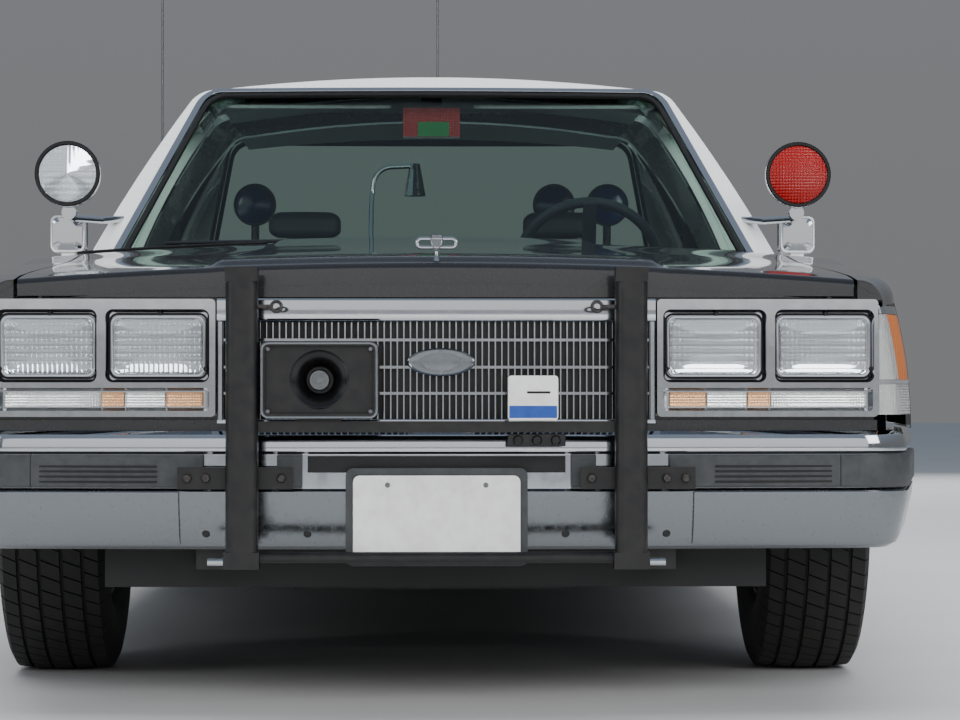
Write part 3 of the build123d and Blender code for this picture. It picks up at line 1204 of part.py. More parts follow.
def parcel_shelf():
    """Shelf behind the rear seat, its bulkhead, and the panel between rear window and trunk lid."""
    half = LID_HALF - 4
    shelf = block(-REAR_HOUSE_X, REAR_HOUSE_X, RISER_Y - 130, Y_BACKLIGHT - 6, SHELF_Z - 6, SHELF_Z + 6)
    bulkhead = block(-REAR_HOUSE_X + 4, REAR_HOUSE_X - 4, RISER_Y - 10, RISER_Y, TRUNK_FLOOR_Z, SHELF_Z)
    top = body_shell(PILLAR, DECK, SHEET)
    top = top & block(-half, half, Y_BACKLIGHT - 30, Y_DECK - HINGE_SETBACK, 0, ROOF_Z)
    web = block(-REAR_HOUSE_X, REAR_HOUSE_X, Y_BACKLIGHT - 16, Y_BACKLIGHT - 6, SHELF_Z, ROOF_Z)
    web = web & body(PILLAR, DECK, SHEET)
    return shelf + bulkhead + top + web


DECK_LAMPS = (-528, 368, 528)
DECK_LAMP_Z = 1150
DECK_LAMP_RADIUS = 60
WARNING_LAMP_FOOT_Z = 1248
WARNING_LAMP_HEIGHT = 74
WARNING_LAMP_Y = Y_DOOR + 650
MAP_LAMP_Z = 1158


def interior_lamps(roof_shell, panel):
    """Warning lamp under the roof, three round deck lamps on stands, and a bent map lamp on the dash."""
    y = WARNING_LAMP_Y
    top_z = WARNING_LAMP_FOOT_Z + WARNING_LAMP_HEIGHT
    red = block(-76, 70, y, y + 60, WARNING_LAMP_FOOT_Z, top_z)
    hanger = block(-30, 24, y + 10, y + 50, top_z - 2, ROOF_Z - 20)
    pieces = [biggest(red + hanger - roof_shell)]
    deck_y = Y_BACKLIGHT - 330
    for x in DECK_LAMPS:
        drum = disc_y(x, deck_y - 30, deck_y + 30, DECK_LAMP_Z, DECK_LAMP_RADIUS)
        stand = post_z(x, deck_y, SHELF_Z + 6, DECK_LAMP_Z - DECK_LAMP_RADIUS + 6, 12)
        foot = post_z(x, deck_y, SHELF_Z + 6, SHELF_Z + 14, 34)
        pieces.append(drum + stand + foot)
    base_y = FIREWALL_Y + 290
    lamp_y = base_y + 130
    foot_z = BELT_Z - 55
    bend = [(-152, base_y, foot_z), (-152, base_y, foot_z + 100), (-152, lamp_y, MAP_LAMP_Z - 88),
            (-130, lamp_y, MAP_LAMP_Z - 8), (-60, lamp_y, MAP_LAMP_Z)]
    neck = tube(bend, [40, 40, 30], 6)
    shade = Pos(-45, lamp_y, MAP_LAMP_Z - 40) * Cone(27, 12, 80)
    pieces.append(biggest(neck + shade - panel))
    return Compound(children=pieces)


def antennas():
    """Two whip aerials: a tall one on the right rear quarter and a short one on the roof."""
    tall_x = 90 - HALF_WIDTH
    tall_y = Y_REAR_AXLE + 480
    tall_foot = BELT_Z - 37
    tall = post_z(tall_x, tall_y, tall_foot, 2560, 3.5) + post_z(tall_x, tall_y, tall_foot, BELT_Z + 55, 16)
    short_y = Y_B_PILLAR + 300
    short = post_z(16, short_y, ROOF_Z - 40, 1890, 3) + post_z(16, short_y, ROOF_Z - 40, ROOF_Z + 14, 20)
    return tall, short


def write_parts():
    """Build every node and write one file for each."""
    os.makedirs("parts", exist_ok=True)
    channels = bumpers().solids()
    channels = sorted(channels, key=lambda solid: solid.center().Y)
    roof_shell = roof()
    left_fender = fender()
    left_quarter = quarter_panel()
    quarters = pair(left_quarter)
    shaft = driveline()
    panel = dashboard()
    tall, short = antennas()
    parts = {
        "chassis_frame": chassis_frame(channels),
        "floor_pan": floor_pan(),
        "engine_aprons": engine_aprons(),
        "trunk_floor": trunk_floor(),
        "air_dam": air_dam(),
        "cowl_panel": cowl_panel(),
        "body_pillars": body_pillars(),
        "roof": roof_shell,
        "fenders": pair(left_fender),
        "quarter_panels": quarters,
        "nose_panel": nose_panel(),
        "grille": grille(),
        "lamp_bezels": pair(lamp_bezel()),
        "headlamps": headlamps(),
        "marker_lenses": marker_lenses(),
        "bumpers": Compound(children=channels),
        "bumper_pads": bumper_pads(),
        "number_plates": number_plates(channels[0], Y_TAIL - 4),
        "push_bar": push_bar(channels[0]),
        "siren_speaker": siren_speaker(),
        "tag_box": tag_box(),
        "spotlights": spotlights(roof_shell),
        "fixed_glass": fixed_glass(),
        "tail_lamps": tail_lamps(),
        "tail_panel": tail_panel(),
        "dashboard": panel,
        "front_seat": front_seat(),
        "rear_seat": rear_seat(),
        "parcel_shelf": parcel_shelf(),
        "interior_lamps": interior_lamps(roof_shell, panel),
        "engine_block": engine_block(),
        "radiator": radiator(),
        "exhaust": exhaust(),
        "fuel_tank": fuel_tank(),
        "driveline": shaft,
        "rear_axle": rear_axle(shaft),
        "front_suspension": front_suspension(),
        "antennas": Compound(children=[biggest(tall - quarters), biggest(short - roof_shell)]),
        "hood": hood(),
        "trunk_lid": trunk_lid(),
        "steering_wheel": steering_wheel(),
    }
    doors = {
        "front_door": (front_door(), door_glass(FRONT_FRAME)),
        "rear_door": (rear_door(), door_glass(REAR_FRAME)),
    }
    for name, (panel_solid, glass) in doors.items():
        parts[name + "_left"] = panel_solid
        parts[name + "_right"] = mirrored(panel_solid)
        parts[name + "_glass_left"] = glass
        parts[name + "_glass_right"] = mirrored(glass)
    left_knuckle = knuckle()
    parts["knuckle_left"] = left_knuckle
    parts["knuckle_right"] = mirrored(left_knuckle)
    for name, side, y in (("front_left", 1, Y_FRONT_AXLE), ("front_right", -1, Y_FRONT_AXLE),
                          ("rear_left", 1, Y_REAR_AXLE), ("rear_right", -1, Y_REAR_AXLE)):
        parts["tyre_" + name] = tyre(side * WHEEL_X, y)
        parts["rim_" + name] = rim(side * WHEEL_X, y, side)
    for name, shape in parts.items():
        export_step(shape, "parts/" + name + ".step")


write_parts()
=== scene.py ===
"""Looks, trim and stage of a patrol car, built on its CAD frame."""
import math

import bpy
import bmesh
import numpy as np
from bpy.props import FloatProperty, FloatVectorProperty, IntProperty, PointerProperty
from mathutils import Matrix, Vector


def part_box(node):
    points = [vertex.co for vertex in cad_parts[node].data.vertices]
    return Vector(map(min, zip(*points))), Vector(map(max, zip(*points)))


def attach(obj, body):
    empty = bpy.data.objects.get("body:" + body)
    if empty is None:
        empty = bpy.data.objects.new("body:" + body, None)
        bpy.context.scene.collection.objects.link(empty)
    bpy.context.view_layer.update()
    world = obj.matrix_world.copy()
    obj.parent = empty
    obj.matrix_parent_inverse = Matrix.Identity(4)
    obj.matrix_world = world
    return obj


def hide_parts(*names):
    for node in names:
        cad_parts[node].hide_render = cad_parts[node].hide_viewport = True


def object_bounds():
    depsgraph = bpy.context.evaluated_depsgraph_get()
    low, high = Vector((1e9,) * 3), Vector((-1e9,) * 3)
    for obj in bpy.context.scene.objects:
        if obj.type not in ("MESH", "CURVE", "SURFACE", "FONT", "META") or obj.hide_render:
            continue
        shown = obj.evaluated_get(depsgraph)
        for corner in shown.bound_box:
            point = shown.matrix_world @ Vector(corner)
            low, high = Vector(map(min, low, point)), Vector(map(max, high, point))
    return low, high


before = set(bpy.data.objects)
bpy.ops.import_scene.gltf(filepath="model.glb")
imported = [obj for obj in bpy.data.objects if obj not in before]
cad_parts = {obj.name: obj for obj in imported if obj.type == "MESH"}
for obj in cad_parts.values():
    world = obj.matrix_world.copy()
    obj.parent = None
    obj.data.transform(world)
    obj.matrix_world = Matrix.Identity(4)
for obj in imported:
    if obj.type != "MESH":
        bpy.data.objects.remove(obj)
CAD_BOUNDS = [list(corner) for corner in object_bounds()]

bl_info = {
    "name": "Patrol Car Finish",
    "version": (1, 0, 0),
    "blender": (4, 5, 0),
    "location": "View3D > Sidebar > Patrol Car",
    "description": "Adds paint, bright trim, lamps, tyres, cabin and stage to the patrol car frame",
    "category": "Object",
}

MM = 0.001
SIDES = (("left", 1), ("right", -1))
# Widest place that a skin may reach, just inside the CAD box
X_LIMIT = CAD_BOUNDS[1][0] / MM - 0.1
UP, BACKWARD, FORWARD = (0, 0, 1), (0, 1, 0), (0, -1, 0)

# Places along the car, mm
Y_NOSE, Y_LAMPS, Y_FRONT_AXLE = -2589.5, -2449.5, -1589.5
Y_COWL, Y_DOOR, Y_POST = -1109.5, -1039.5, 65.5
Y_REAR_AXLE, Y_GLASS, Y_DECK, Y_TAIL = 1313.5, 1253.5, 1323.5, 2624.5
Y_BUMPER = -2639.5
WHEEL_X, TYRE_R, TYRE_HALF, RIM_R = 790.0, 348.0, 112.5, 190.5
ARCH_Z, ARCH_R = 362.0, 382.0

# Body sections, mm: place, half width, crown edge height, crown rise
STATIONS = np.array((
    (Y_NOSE, 849.0, 802.0, 30.0),
    (Y_LAMPS, 892.0, 813.0, 34.0),
    (Y_FRONT_AXLE, 962.0, 868.0, 36.0),
    (Y_COWL, 972.0, 905.0, 38.0),
    (Y_POST, 972.0, 913.0, 40.0),
    (Y_GLASS, 972.0, 929.0, 46.0),
    (1913.5, 966.0, 925.0, 40.0),
    (Y_TAIL, 930.0, 895.0, 34.0),
))
SILL_Z, SILL_TUCK, BULGE_Z = 255.0, 38.0, 590.0
CROWN_IN, SHOULDER_IN, SHOULDER_DROP = 75.0, 30.0, 45.0
# Height of the body's foot at the bumpers and at the doors, the belt's inner edge, and skin thickness
BUMPER_FOOT, DOOR_FOOT, BELT_X, SKIN = 529.0, 337.0, 876.0, 1.6
# Height band of the rubber side mouldings
PAD_LOW, PAD_HIGH = 435, 477


# Settings


class PaintSettings(bpy.types.PropertyGroup):
    dark: FloatVectorProperty(
        name="Dark paint", description="Body colour below the roof", subtype="COLOR",
        size=3, min=0, max=1, default=(0.0045, 0.0045, 0.0055))
    light: FloatVectorProperty(
        name="Light paint", description="Colour of the roof and front doors", subtype="COLOR",
        size=3, min=0, max=1, default=(0.72, 0.73, 0.72))
    wear: FloatProperty(
        name="Wear", description="Strength of the dusty film on the paint",
        subtype="FACTOR", min=0, max=1, default=0.35)


class TyreSettings(bpy.types.PropertyGroup):
    lugs: IntProperty(name="Tread blocks", description="Blocks round one tread row",
                      min=24, max=90, default=64)
    groove: FloatProperty(name="Groove width", description="Width of the round tread grooves",
                          subtype="DISTANCE", unit="LENGTH", min=0.003, max=0.012, default=0.008)
    depth: FloatProperty(name="Groove depth", description="Depth of the tread grooves",
                         subtype="DISTANCE", unit="LENGTH", min=0.002, max=0.01, default=0.007)


class TrimSettings(bpy.types.PropertyGroup):
    bar_pitch: FloatProperty(name="Grille pitch", description="Distance between upright grille bars",
                             subtype="DISTANCE", unit="LENGTH", min=0.008, max=0.03, default=0.012)
    amber: FloatVectorProperty(name="Amber", description="Colour of the turn lamps", subtype="COLOR",
                               size=3, min=0, max=1, default=(0.82, 0.23, 0.015))


class StageSettings(bpy.types.PropertyGroup):
    floor: FloatVectorProperty(name="Floor", description="Colour of the plain floor", subtype="COLOR",
                               size=3, min=0, max=1, default=(0.56, 0.56, 0.55))
    key: FloatProperty(name="Key light", description="Power of the overhead light",
                       subtype="POWER", unit="POWER", min=10, max=4000, default=900)
    lens: FloatProperty(name="Lens", description="Focal length of the camera",
                        subtype="DISTANCE_CAMERA", unit="CAMERA", min=20, max=300, default=112.5)


# Meshes


def xyz(x, y, z):
    """Points from their coordinates, each a number or an array."""
    return np.stack(np.broadcast_arrays(x, y, z), -1).astype(float)


def build(name, points, faces, material, body="root", sharp=38.0, bevel=0.0):
    """Mesh object from points in mm and rows of indices, with a key of MATERIALS and a body to ride on."""
    points = np.asarray(points, float)
    if not np.isfinite(points).all():
        raise ValueError(name + " has a point that is not a number")
    mesh = bpy.data.meshes.new(name)
    mesh.from_pydata((points * MM).tolist(), [], [list(map(int, f)) for f in faces])
    return dress(name, mesh, material, body, sharp, bevel)


def dress(name, mesh, material, body, sharp, bevel):
    """Outward faces, smooth shading with sharp edges above an angle, an edge bevel in mm, material, body."""
    work = bmesh.new()
    work.from_mesh(mesh)
    bmesh.ops.remove_doubles(work, verts=work.verts, dist=1e-6)
    bmesh.ops.recalc_face_normals(work, faces=work.faces)
    if work.calc_volume(signed=True) < 0:
        bmesh.ops.reverse_faces(work, faces=work.faces)
    work.to_mesh(mesh)
    work.free()
    mesh.polygons.foreach_set("use_smooth", np.ones(len(mesh.polygons), bool))
    mesh.set_sharp_from_angle(angle=math.radians(sharp))
    mesh.materials.append(MATERIALS[material])
    obj = bpy.data.objects.new(name, mesh)
    bpy.context.scene.collection.objects.link(obj)
    if bevel:
        edge = obj.modifiers.new("Edges", "BEVEL")
        edge.width, edge.segments, edge.limit_method = bevel * MM, 2, "ANGLE"
        edge.angle_limit, edge.harden_normals = math.radians(sharp), True
        edge.use_clamp_overlap = True
    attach(obj, body)
    return obj


def grid_faces(rows, columns, wrap_rows=False, wrap_columns=False):
    """Quads between neighbouring rows and columns of a grid, closed round either way if asked."""
    r = np.arange(rows if wrap_rows else rows - 1)[:, None]
    c = np.arange(columns if wrap_columns else columns - 1)[None, :]
    r1, c1 = (r + 1) % rows, (c + 1) % columns
    quads = [r * columns + c, r1 * columns + c, r1 * columns + c1, r * columns + c1]
    return np.stack(np.broadcast_arrays(*quads), -1).reshape(-1, 4)


def loft(name, rings, material, body="root", wrap=False, **look):
    """Closed rings joined one after another, flat ends closed; a stack of ring sets makes equal solids."""
    rings = np.asarray(rings, float)
    rows, columns = rings.shape[-3:-1]
    size = rows * columns
    faces = grid_faces(rows, columns, wrap, True).tolist()
    if not wrap:
        faces += [list(range(columns))[::-1], list(range(size - columns, size))]
    points = rings.reshape(-1, 3)
    faces = [[start + i for i in f] for start in range(0, len(points), size) for f in faces]
    return build(name, points, faces, material, body, **look)


def panel(name, grid, thickness, material, body="root", **look):
    """Closed sheet: a grid of points, its copy set back along the grid's normals, and a rim."""
    grid = np.asarray(grid, float)
    normal = np.cross(np.gradient(grid, axis=0), np.gradient(grid, axis=1))
    normal /= np.maximum(np.linalg.norm(normal, axis=2, keepdims=True), 1e-9)
    rows, columns = grid.shape[:2]
    count = rows * columns
    index = np.arange(count).reshape(rows, columns)
    faces = grid_faces(rows, columns).tolist()
    faces += [[i + count for i in f[::-1]] for f in faces]
    rim = np.concatenate([index[0, :-1], index[:-1, -1], index[-1, :0:-1], index[:0:-1, 0]])
    faces += [[a, b, b + count, a + count] for a, b in zip(rim, np.roll(rim, -1))]
    points = np.concatenate([grid, grid - normal * thickness]).reshape(-1, 3)
    return build(name, points, faces, material, body, **look)


def strip(name, path, profile, material, body="root", up=UP, closed=False, **look):
    """Solid of a flat (sideways, upward) profile carried along a path and square to it."""
    path, profile = np.asarray(path, float), np.asarray(profile, float)
    run = np.roll(path, -1, 0) - np.roll(path, 1, 0) if closed else np.gradient(path, axis=0)
    run /= np.linalg.norm(run, axis=1, keepdims=True)
    side = np.cross(run, up)
    side /= np.linalg.norm(side, axis=1, keepdims=True)
    rise = np.cross(side, run)
    rings = path[:, None] + profile[None, :, :1] * side[:, None] + profile[None, :, 1:] * rise[:, None]
    return loft(name, rings, material, body, closed, **look)


def circle(radius, count=16, squash=1.0):
    """Points of a circle, flattened by squash in its second direction."""
    a = np.linspace(0, 2 * math.pi, count, endpoint=False)
    return np.stack([radius * np.cos(a), radius * squash * np.sin(a)], -1)


def rounded(width, height, radius, steps=5):
    """Rectangle with round corners, as (across, up) points."""
    points = []
    for k, (sx, sz) in enumerate(((1, 1), (-1, 1), (-1, -1), (1, -1))):
        a = np.linspace(0, math.pi / 2, steps) + k * math.pi / 2
        centre = np.array([sx * (width / 2 - radius), sz * (height / 2 - radius)])
        points.append(centre + radius * np.stack([np.cos(a), np.sin(a)], -1))
    return np.concatenate(points)


def facing(outline, x, y, z):
    """An (across, up) outline seen from the front, as points about a place."""
    return xyz(x + outline[:, 0], y, z + outline[:, 1])


def stacked(name, outline, x, z, levels, material, body="root", **look):
    """Solid of a front-view outline about (x, z); each level is (scale, y), the scale one number or two."""
    rings = [facing(outline * k, x, y, z) for k, y in levels]
    return loft(name, rings, material, body, **look)


def turned(profile, centre, axis, count):
    """Rings of a (radius, along) profile turned about an axis through a centre."""
    axis = np.asarray(axis, float)
    axis /= np.linalg.norm(axis)
    helper = np.array([0, 0, 1.0]) if abs(axis[2]) < 0.9 else np.array([1.0, 0, 0])
    u = np.cross(helper, axis)
    u /= np.linalg.norm(u)
    v = np.cross(axis, u)
    a = np.linspace(0, 2 * math.pi, count, endpoint=False)
    ring = np.cos(a)[:, None] * u + np.sin(a)[:, None] * v
    profile = np.asarray(profile, float)
    return np.asarray(centre, float) + profile[:, :1, None] * ring[None] + profile[:, 1:, None] * axis


def lathe(name, profile, centre, axis, material, body="root", count=32, **look):
    """Solid of revolution of a (radius, along) profile; a wrapped one is a ring."""
    return loft(name, turned(profile, centre, axis, count), material, body, **look)


def studs(name, table, radius, height, axis, material, body="root", count=6):
    """Many equal low bolt heads or knobs in one mesh, one at each centre of a table."""
    profile = [(radius, -1.0), (radius, height * 0.7), (radius * 0.75, height)]
    return loft(name, [turned(profile, centre, axis, count) for centre in table], material, body)


def boxes(name, table, material, body="root", **look):
    """Several plain blocks in one mesh; a row is (x0, x1, y0, y1, z0, z1), x in either order."""
    table = np.array(table, float)
    table[:, :2] = np.sort(table[:, :2], axis=1)
    corners = np.array([(i, j, k) for i in (0, 1) for j in (2, 3) for k in (4, 5)])
    sides = ((0, 1, 3, 2), (4, 6, 7, 5), (0, 4, 5, 1), (2, 3, 7, 6), (0, 2, 6, 4), (1, 5, 7, 3))
    faces = [[8 * n + i for i in side] for n in range(len(table)) for side in sides]
    return build(name, table[:, corners].reshape(-1, 3), faces, material, body, **look)


def mirrored(points, side):
    """Points copied to the car's other side where side is -1."""
    return np.asarray(points, float) * (side, 1, 1)


def refined(node, material, bevel=1.2, sharp=30.0, body="root"):
    """Merged, smoothed copy of a CAD node with its flat facets joined and its edges bevelled."""
    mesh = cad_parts[node].data.copy()
    mesh.materials.clear()
    work = bmesh.new()
    work.from_mesh(mesh)
    bmesh.ops.remove_doubles(work, verts=work.verts, dist=2e-5)
    bmesh.ops.dissolve_limit(work, angle_limit=math.radians(0.4), verts=work.verts, edges=work.edges)
    work.to_mesh(mesh)
    work.free()
    for attribute in [a.name for a in mesh.attributes if a.name in ("custom_normal", "sharp_edge")]:
        mesh.attributes.remove(mesh.attributes[attribute])
    obj = dress(node + "_finish", mesh, material, body, sharp, bevel)
    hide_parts(node)
    return obj


def tint(obj, material, low, high):
    """Gives another material to the faces whose middles lie in a box, mm, on either side of the car."""
    mesh = obj.data
    mesh.materials.append(MATERIALS[material])
    middle = np.empty(len(mesh.polygons) * 3)
    mesh.polygons.foreach_get("center", middle)
    middle = middle.reshape(-1, 3) / MM
    middle[:, 0] = np.abs(middle[:, 0])
    index = np.zeros(len(mesh.polygons), np.int32)
    mesh.polygons.foreach_get("material_index", index)
    index[np.all((middle >= low) & (middle <= high), axis=1)] = len(mesh.materials) - 1
    mesh.polygons.foreach_set("material_index", index)


# Body surface


def smooth_rows(y):
    """Half width, crown edge height and crown rise at places along the car.

    A cubic between stations whose slope at each one is the harmonic mean of its neighbours' slopes.
    """
    y = np.asarray(y, float)
    x = STATIONS[:, 0]
    i = np.clip(np.searchsorted(x, y) - 1, 0, len(x) - 2)
    h = np.diff(x)
    t = (y - x[i]) / h[i]
    out = []
    for v in STATIONS[:, 1:].T:
        d = np.diff(v) / h
        m = np.zeros(len(v))
        same = d[:-1] * d[1:] > 0
        m[1:-1][same] = 2 * d[:-1][same] * d[1:][same] / (d[:-1] + d[1:])[same]
        m[0], m[-1] = d[0], d[-1]
        out.append((2 * t**3 - 3 * t**2 + 1) * v[i] + (t**3 - 2 * t**2 + t) * h[i] * m[i]
                   + (3 * t**2 - 2 * t**3) * v[i + 1] + (t**3 - t**2) * h[i] * m[i + 1])
    return out


def through_three(a, b, c):
    """Centre and radius of the circle through three (x, z) points, numbers or arrays."""
    (ax, az), (bx, bz), (cx, cz) = a, b, c
    d = 2 * (ax * (bz - cz) + bx * (cz - az) + cx * (az - bz))
    a2, b2, c2 = ax**2 + az**2, bx**2 + bz**2, cx**2 + cz**2
    x = (a2 * (bz - cz) + b2 * (cz - az) + c2 * (az - bz)) / d
    z = (a2 * (cx - bx) + b2 * (ax - cx) + c2 * (bx - ax)) / d
    return x, z, np.hypot(ax - x, az - z)


def side_x(y, z, proud=0.9):
    """Body side: the arc through sill, bulge and side top at each place, stood proud a little."""
    half, edge, _ = smooth_rows(y)
    cx, cz, r = through_three((half - SILL_TUCK, SILL_Z), (half, BULGE_Z),
                              (half - SHOULDER_IN, edge - SHOULDER_DROP))
    return np.minimum(cx + np.sqrt(np.maximum(r**2 - (z - cz) ** 2, 0)) + proud, X_LIMIT)


def crown_z(y, x, proud=1.2):
    """Body top: the arc over the car from crown edge to crown edge at each place."""
    half, edge, rise = smooth_rows(y)
    w = half - CROWN_IN
    r = (w**2 + rise**2) / (2 * rise)
    return edge + rise - r + np.sqrt(np.maximum(r**2 - x**2, 0)) + proud


def shoulder(y, t):
    """Round shoulder between side and top, 1 mm proud, t from 0 at the side to 1 at the crown edge."""
    half, edge, _ = smooth_rows(y)
    a = (half - SHOULDER_IN, edge - SHOULDER_DROP)
    b = (half - SHOULDER_IN * 1.4, edge - SHOULDER_DROP * 0.29)
    c = (half - CROWN_IN, edge)
    cx, cz, r = through_three(a, b, c)
    first = np.arctan2(a[1] - cz, a[0] - cx)
    angle = first + (np.arctan2(c[1] - cz, c[0] - cx) - first) * t
    return cx + (r + 1.0) * np.cos(angle), cz + (r + 1.0) * np.sin(angle)


def skin(y, z_low, x_in, rows=(22, 8, 10)):
    """Grid from the lower edge up the side, over the shoulder and in to x_in, for each place y."""
    half, edge, _ = smooth_rows(y)
    top = edge - SHOULDER_DROP
    grid = []
    for t in np.linspace(0, 1, rows[0], endpoint=False):
        z = z_low + (top - z_low) * t
        grid.append(xyz(side_x(y, z), y, z))
    for t in np.linspace(0, 1, rows[1], endpoint=False):
        x, z = shoulder(y, t)
        grid.append(xyz(np.minimum(x, X_LIMIT), y, z))
    for t in np.linspace(0, 1, rows[2]):
        x = (half - CROWN_IN) + (x_in - (half - CROWN_IN)) * t
        grid.append(xyz(x, y, crown_z(y, x, 1.0)))
    return np.array(grid)


def arch_top(y, axle, reach=ARCH_R):
    """Height of the round wheel opening, or of a line round it, at places along the car."""
    return ARCH_Z + np.sqrt(np.maximum(reach**2 - (y - axle) ** 2, 0))


def with_arch(y0, y1, axle):
    """Places along a side and its lower edge there, dense and round over the wheel opening."""
    angle = np.linspace(math.pi, 0, 60)
    before = np.linspace(y0, axle - ARCH_R, 14)[:-1] if y0 < axle - ARCH_R else []
    after = np.linspace(axle + ARCH_R, y1, 14)[1:]
    y = np.concatenate([before, axle + ARCH_R * np.cos(angle), after])
    y = y[y >= y0]
    return y, np.where(np.abs(y - axle) < ARCH_R, np.maximum(arch_top(y, axle), BUMPER_FOOT), BUMPER_FOOT)


# Materials


def linear(colour):
    """Linear red, green, blue and alpha of an sRGB hex colour, or of a setting that is linear already."""
    if isinstance(colour, str):
        value = [int(colour[i:i + 2], 16) / 255 for i in (1, 3, 5)]
        colour = [v / 12.92 if v <= 0.04045 else ((v + 0.055) / 1.055) ** 2.4 for v in value]
    return [*colour, 1.0]


class Look:
    """Node tree of one material; add() places a node with its settings and links."""

    def __init__(self, name):
        self.material = bpy.data.materials.new(name)
        self.material.use_nodes = True
        self.tree = self.material.node_tree
        self.shader = self.tree.nodes["Principled BSDF"]
        self.place = None

    def add(self, kind, _out=0, _settings=None, **inputs):
        """New node; an input is named by its socket, or by i and its number, and its output is returned."""
        node = self.tree.nodes.new("ShaderNode" + kind)
        for key, value in (_settings or {}).items():
            setattr(node, key, value)
        for key, value in inputs.items():
            number = key[1:]
            self.give(node.inputs[int(number) if number.isdigit() else key.replace("_", " ")], value)
        return node.outputs[_out]

    def give(self, socket, value):
        """Links a socket to another one, or gives it a plain value."""
        if isinstance(value, bpy.types.NodeSocket):
            self.tree.links.new(value, socket)
        else:
            socket.default_value = value

    def coordinates(self):
        """Object coordinates, in metres from the car's origin."""
        if self.place is None:
            self.place = self.add("TexCoord", 3)
        return self.place

    def math(self, operation, a, b=0.5):
        """One step of arithmetic on one or two values."""
        return self.add("Math", 0, {"operation": operation}, i0=a, i1=b)

    def noise(self, size_mm, detail, rough):
        """Cloudy pattern whose blotches are about size_mm across."""
        return self.add("TexNoise", Vector=self.coordinates(), Scale=1 / (size_mm * MM), Detail=detail,
                        Roughness=rough)

    def ramp(self, value, low, high, to_low=0.0, to_high=1.0):
        """Value between two levels spread over a range."""
        return self.add("MapRange", Value=value, From_Min=low, From_Max=high, To_Min=to_low, To_Max=to_high)

    def mix(self, factor, a, b):
        """Blend of two colours."""
        return self.add("Mix", 2, {"data_type": "RGBA"}, i0=factor, i6=a, i7=b)

    def bump(self, height, depth_mm, strength):
        """Relief of a real depth in mm."""
        self.set(Normal=self.add("Bump", Height=height, Strength=strength, Distance=depth_mm * MM))

    def set(self, **values):
        """Values or links for the shader's own sockets."""
        for key, value in values.items():
            self.give(self.shader.inputs[key.replace("_", " ")], value)


MATERIALS = {}


def paint(name, colour, dust, wear):
    """Gloss enamel: clear coat over a flat colour, with orange peel, a dusty film and fine grime."""
    look = Look(name)
    film = look.math("MULTIPLY", look.ramp(look.noise(180, 5, 0.65), 0.35, 0.75),
                     look.ramp(look.noise(14, 6, 0.7), 0.3, 0.75))
    look.set(Base_Color=look.mix(look.ramp(film, 0, 1, 0, wear * 0.1), linear(colour), linear(dust)),
             Roughness=look.ramp(film, 0, 1, 0.24, 0.42),
             Coat_Weight=1.0, Coat_Roughness=0.035, Coat_IOR=1.5)
    look.bump(look.noise(2.2, 2, 0.5), 0.02, 0.12)
    return look


def metal(name, colour, roughness, spread, grain):
    """Bare or plated metal whose polish varies a little over its surface."""
    look = Look(name)
    look.set(Base_Color=linear(colour), Metallic=1.0,
             Roughness=look.ramp(look.noise(grain, 5, 0.6), 0.3, 0.7, max(roughness - spread, 0.02),
                                 roughness + spread))
    return look


def solid(name, colour, roughness, second=None, size=8.0, relief=0.0, relief_size=1.5, **more):
    """Plain opaque stuff: one tone or two near ones in blotches, with a fine relief."""
    look = Look(name)
    blotch, base = look.noise(size, 5, 0.6), linear(colour)
    if second:
        base = look.mix(look.ramp(blotch, 0.35, 0.65), base, linear(second))
    rough = look.ramp(blotch, 0.3, 0.7, roughness - 0.05, roughness + 0.07)
    look.set(Base_Color=base, Roughness=rough, **more)
    if relief:
        look.bump(look.noise(relief_size, 4, 0.6), relief, 0.5)
    return look


def window_glass(name, colour, reflect):
    """Window glass: clear to light with a faint tint, and mirror-like at grazing angles."""
    look = Look(name)
    tree = look.tree
    # The same reflection from both faces: the index is turned over on the back face
    behind = look.add("NewGeometry", 6)
    fresnel = look.add("Fresnel", IOR=look.ramp(behind, 0, 1, 1.5, 1 / 1.5))
    both = look.add("MixShader", i0=look.math("MULTIPLY", fresnel, reflect),
                    i1=look.add("BsdfTransparent", Color=linear(colour)),
                    i2=look.add("BsdfGlossy", Color=(1, 1, 1, 1), Roughness=0.01))
    tree.links.new(both, tree.nodes["Material Output"].inputs["Surface"])
    tree.nodes.remove(look.shader)
    return look


def lens(name, colour, flute_mm, cross_mm, depth, roughness, transmission):
    """Moulded lens: upright flutes, and cross flutes where asked, pressed into clear or coloured stuff."""
    look = Look(name)
    split = look.add("SeparateXYZ", Vector=look.coordinates())

    def wave(along, pitch_mm):
        """Sine of a coordinate with one crest every pitch_mm."""
        return look.math("SINE", look.math("MULTIPLY", along, 2 * math.pi / (pitch_mm * MM)))

    height = wave(split, flute_mm)
    if cross_mm:
        height = look.math("ADD", height, wave(split.node.outputs[2], cross_mm))
    look.set(Base_Color=linear(colour), Roughness=roughness, Transmission_Weight=transmission, IOR=1.49)
    look.bump(height, depth, 0.6)
    return look


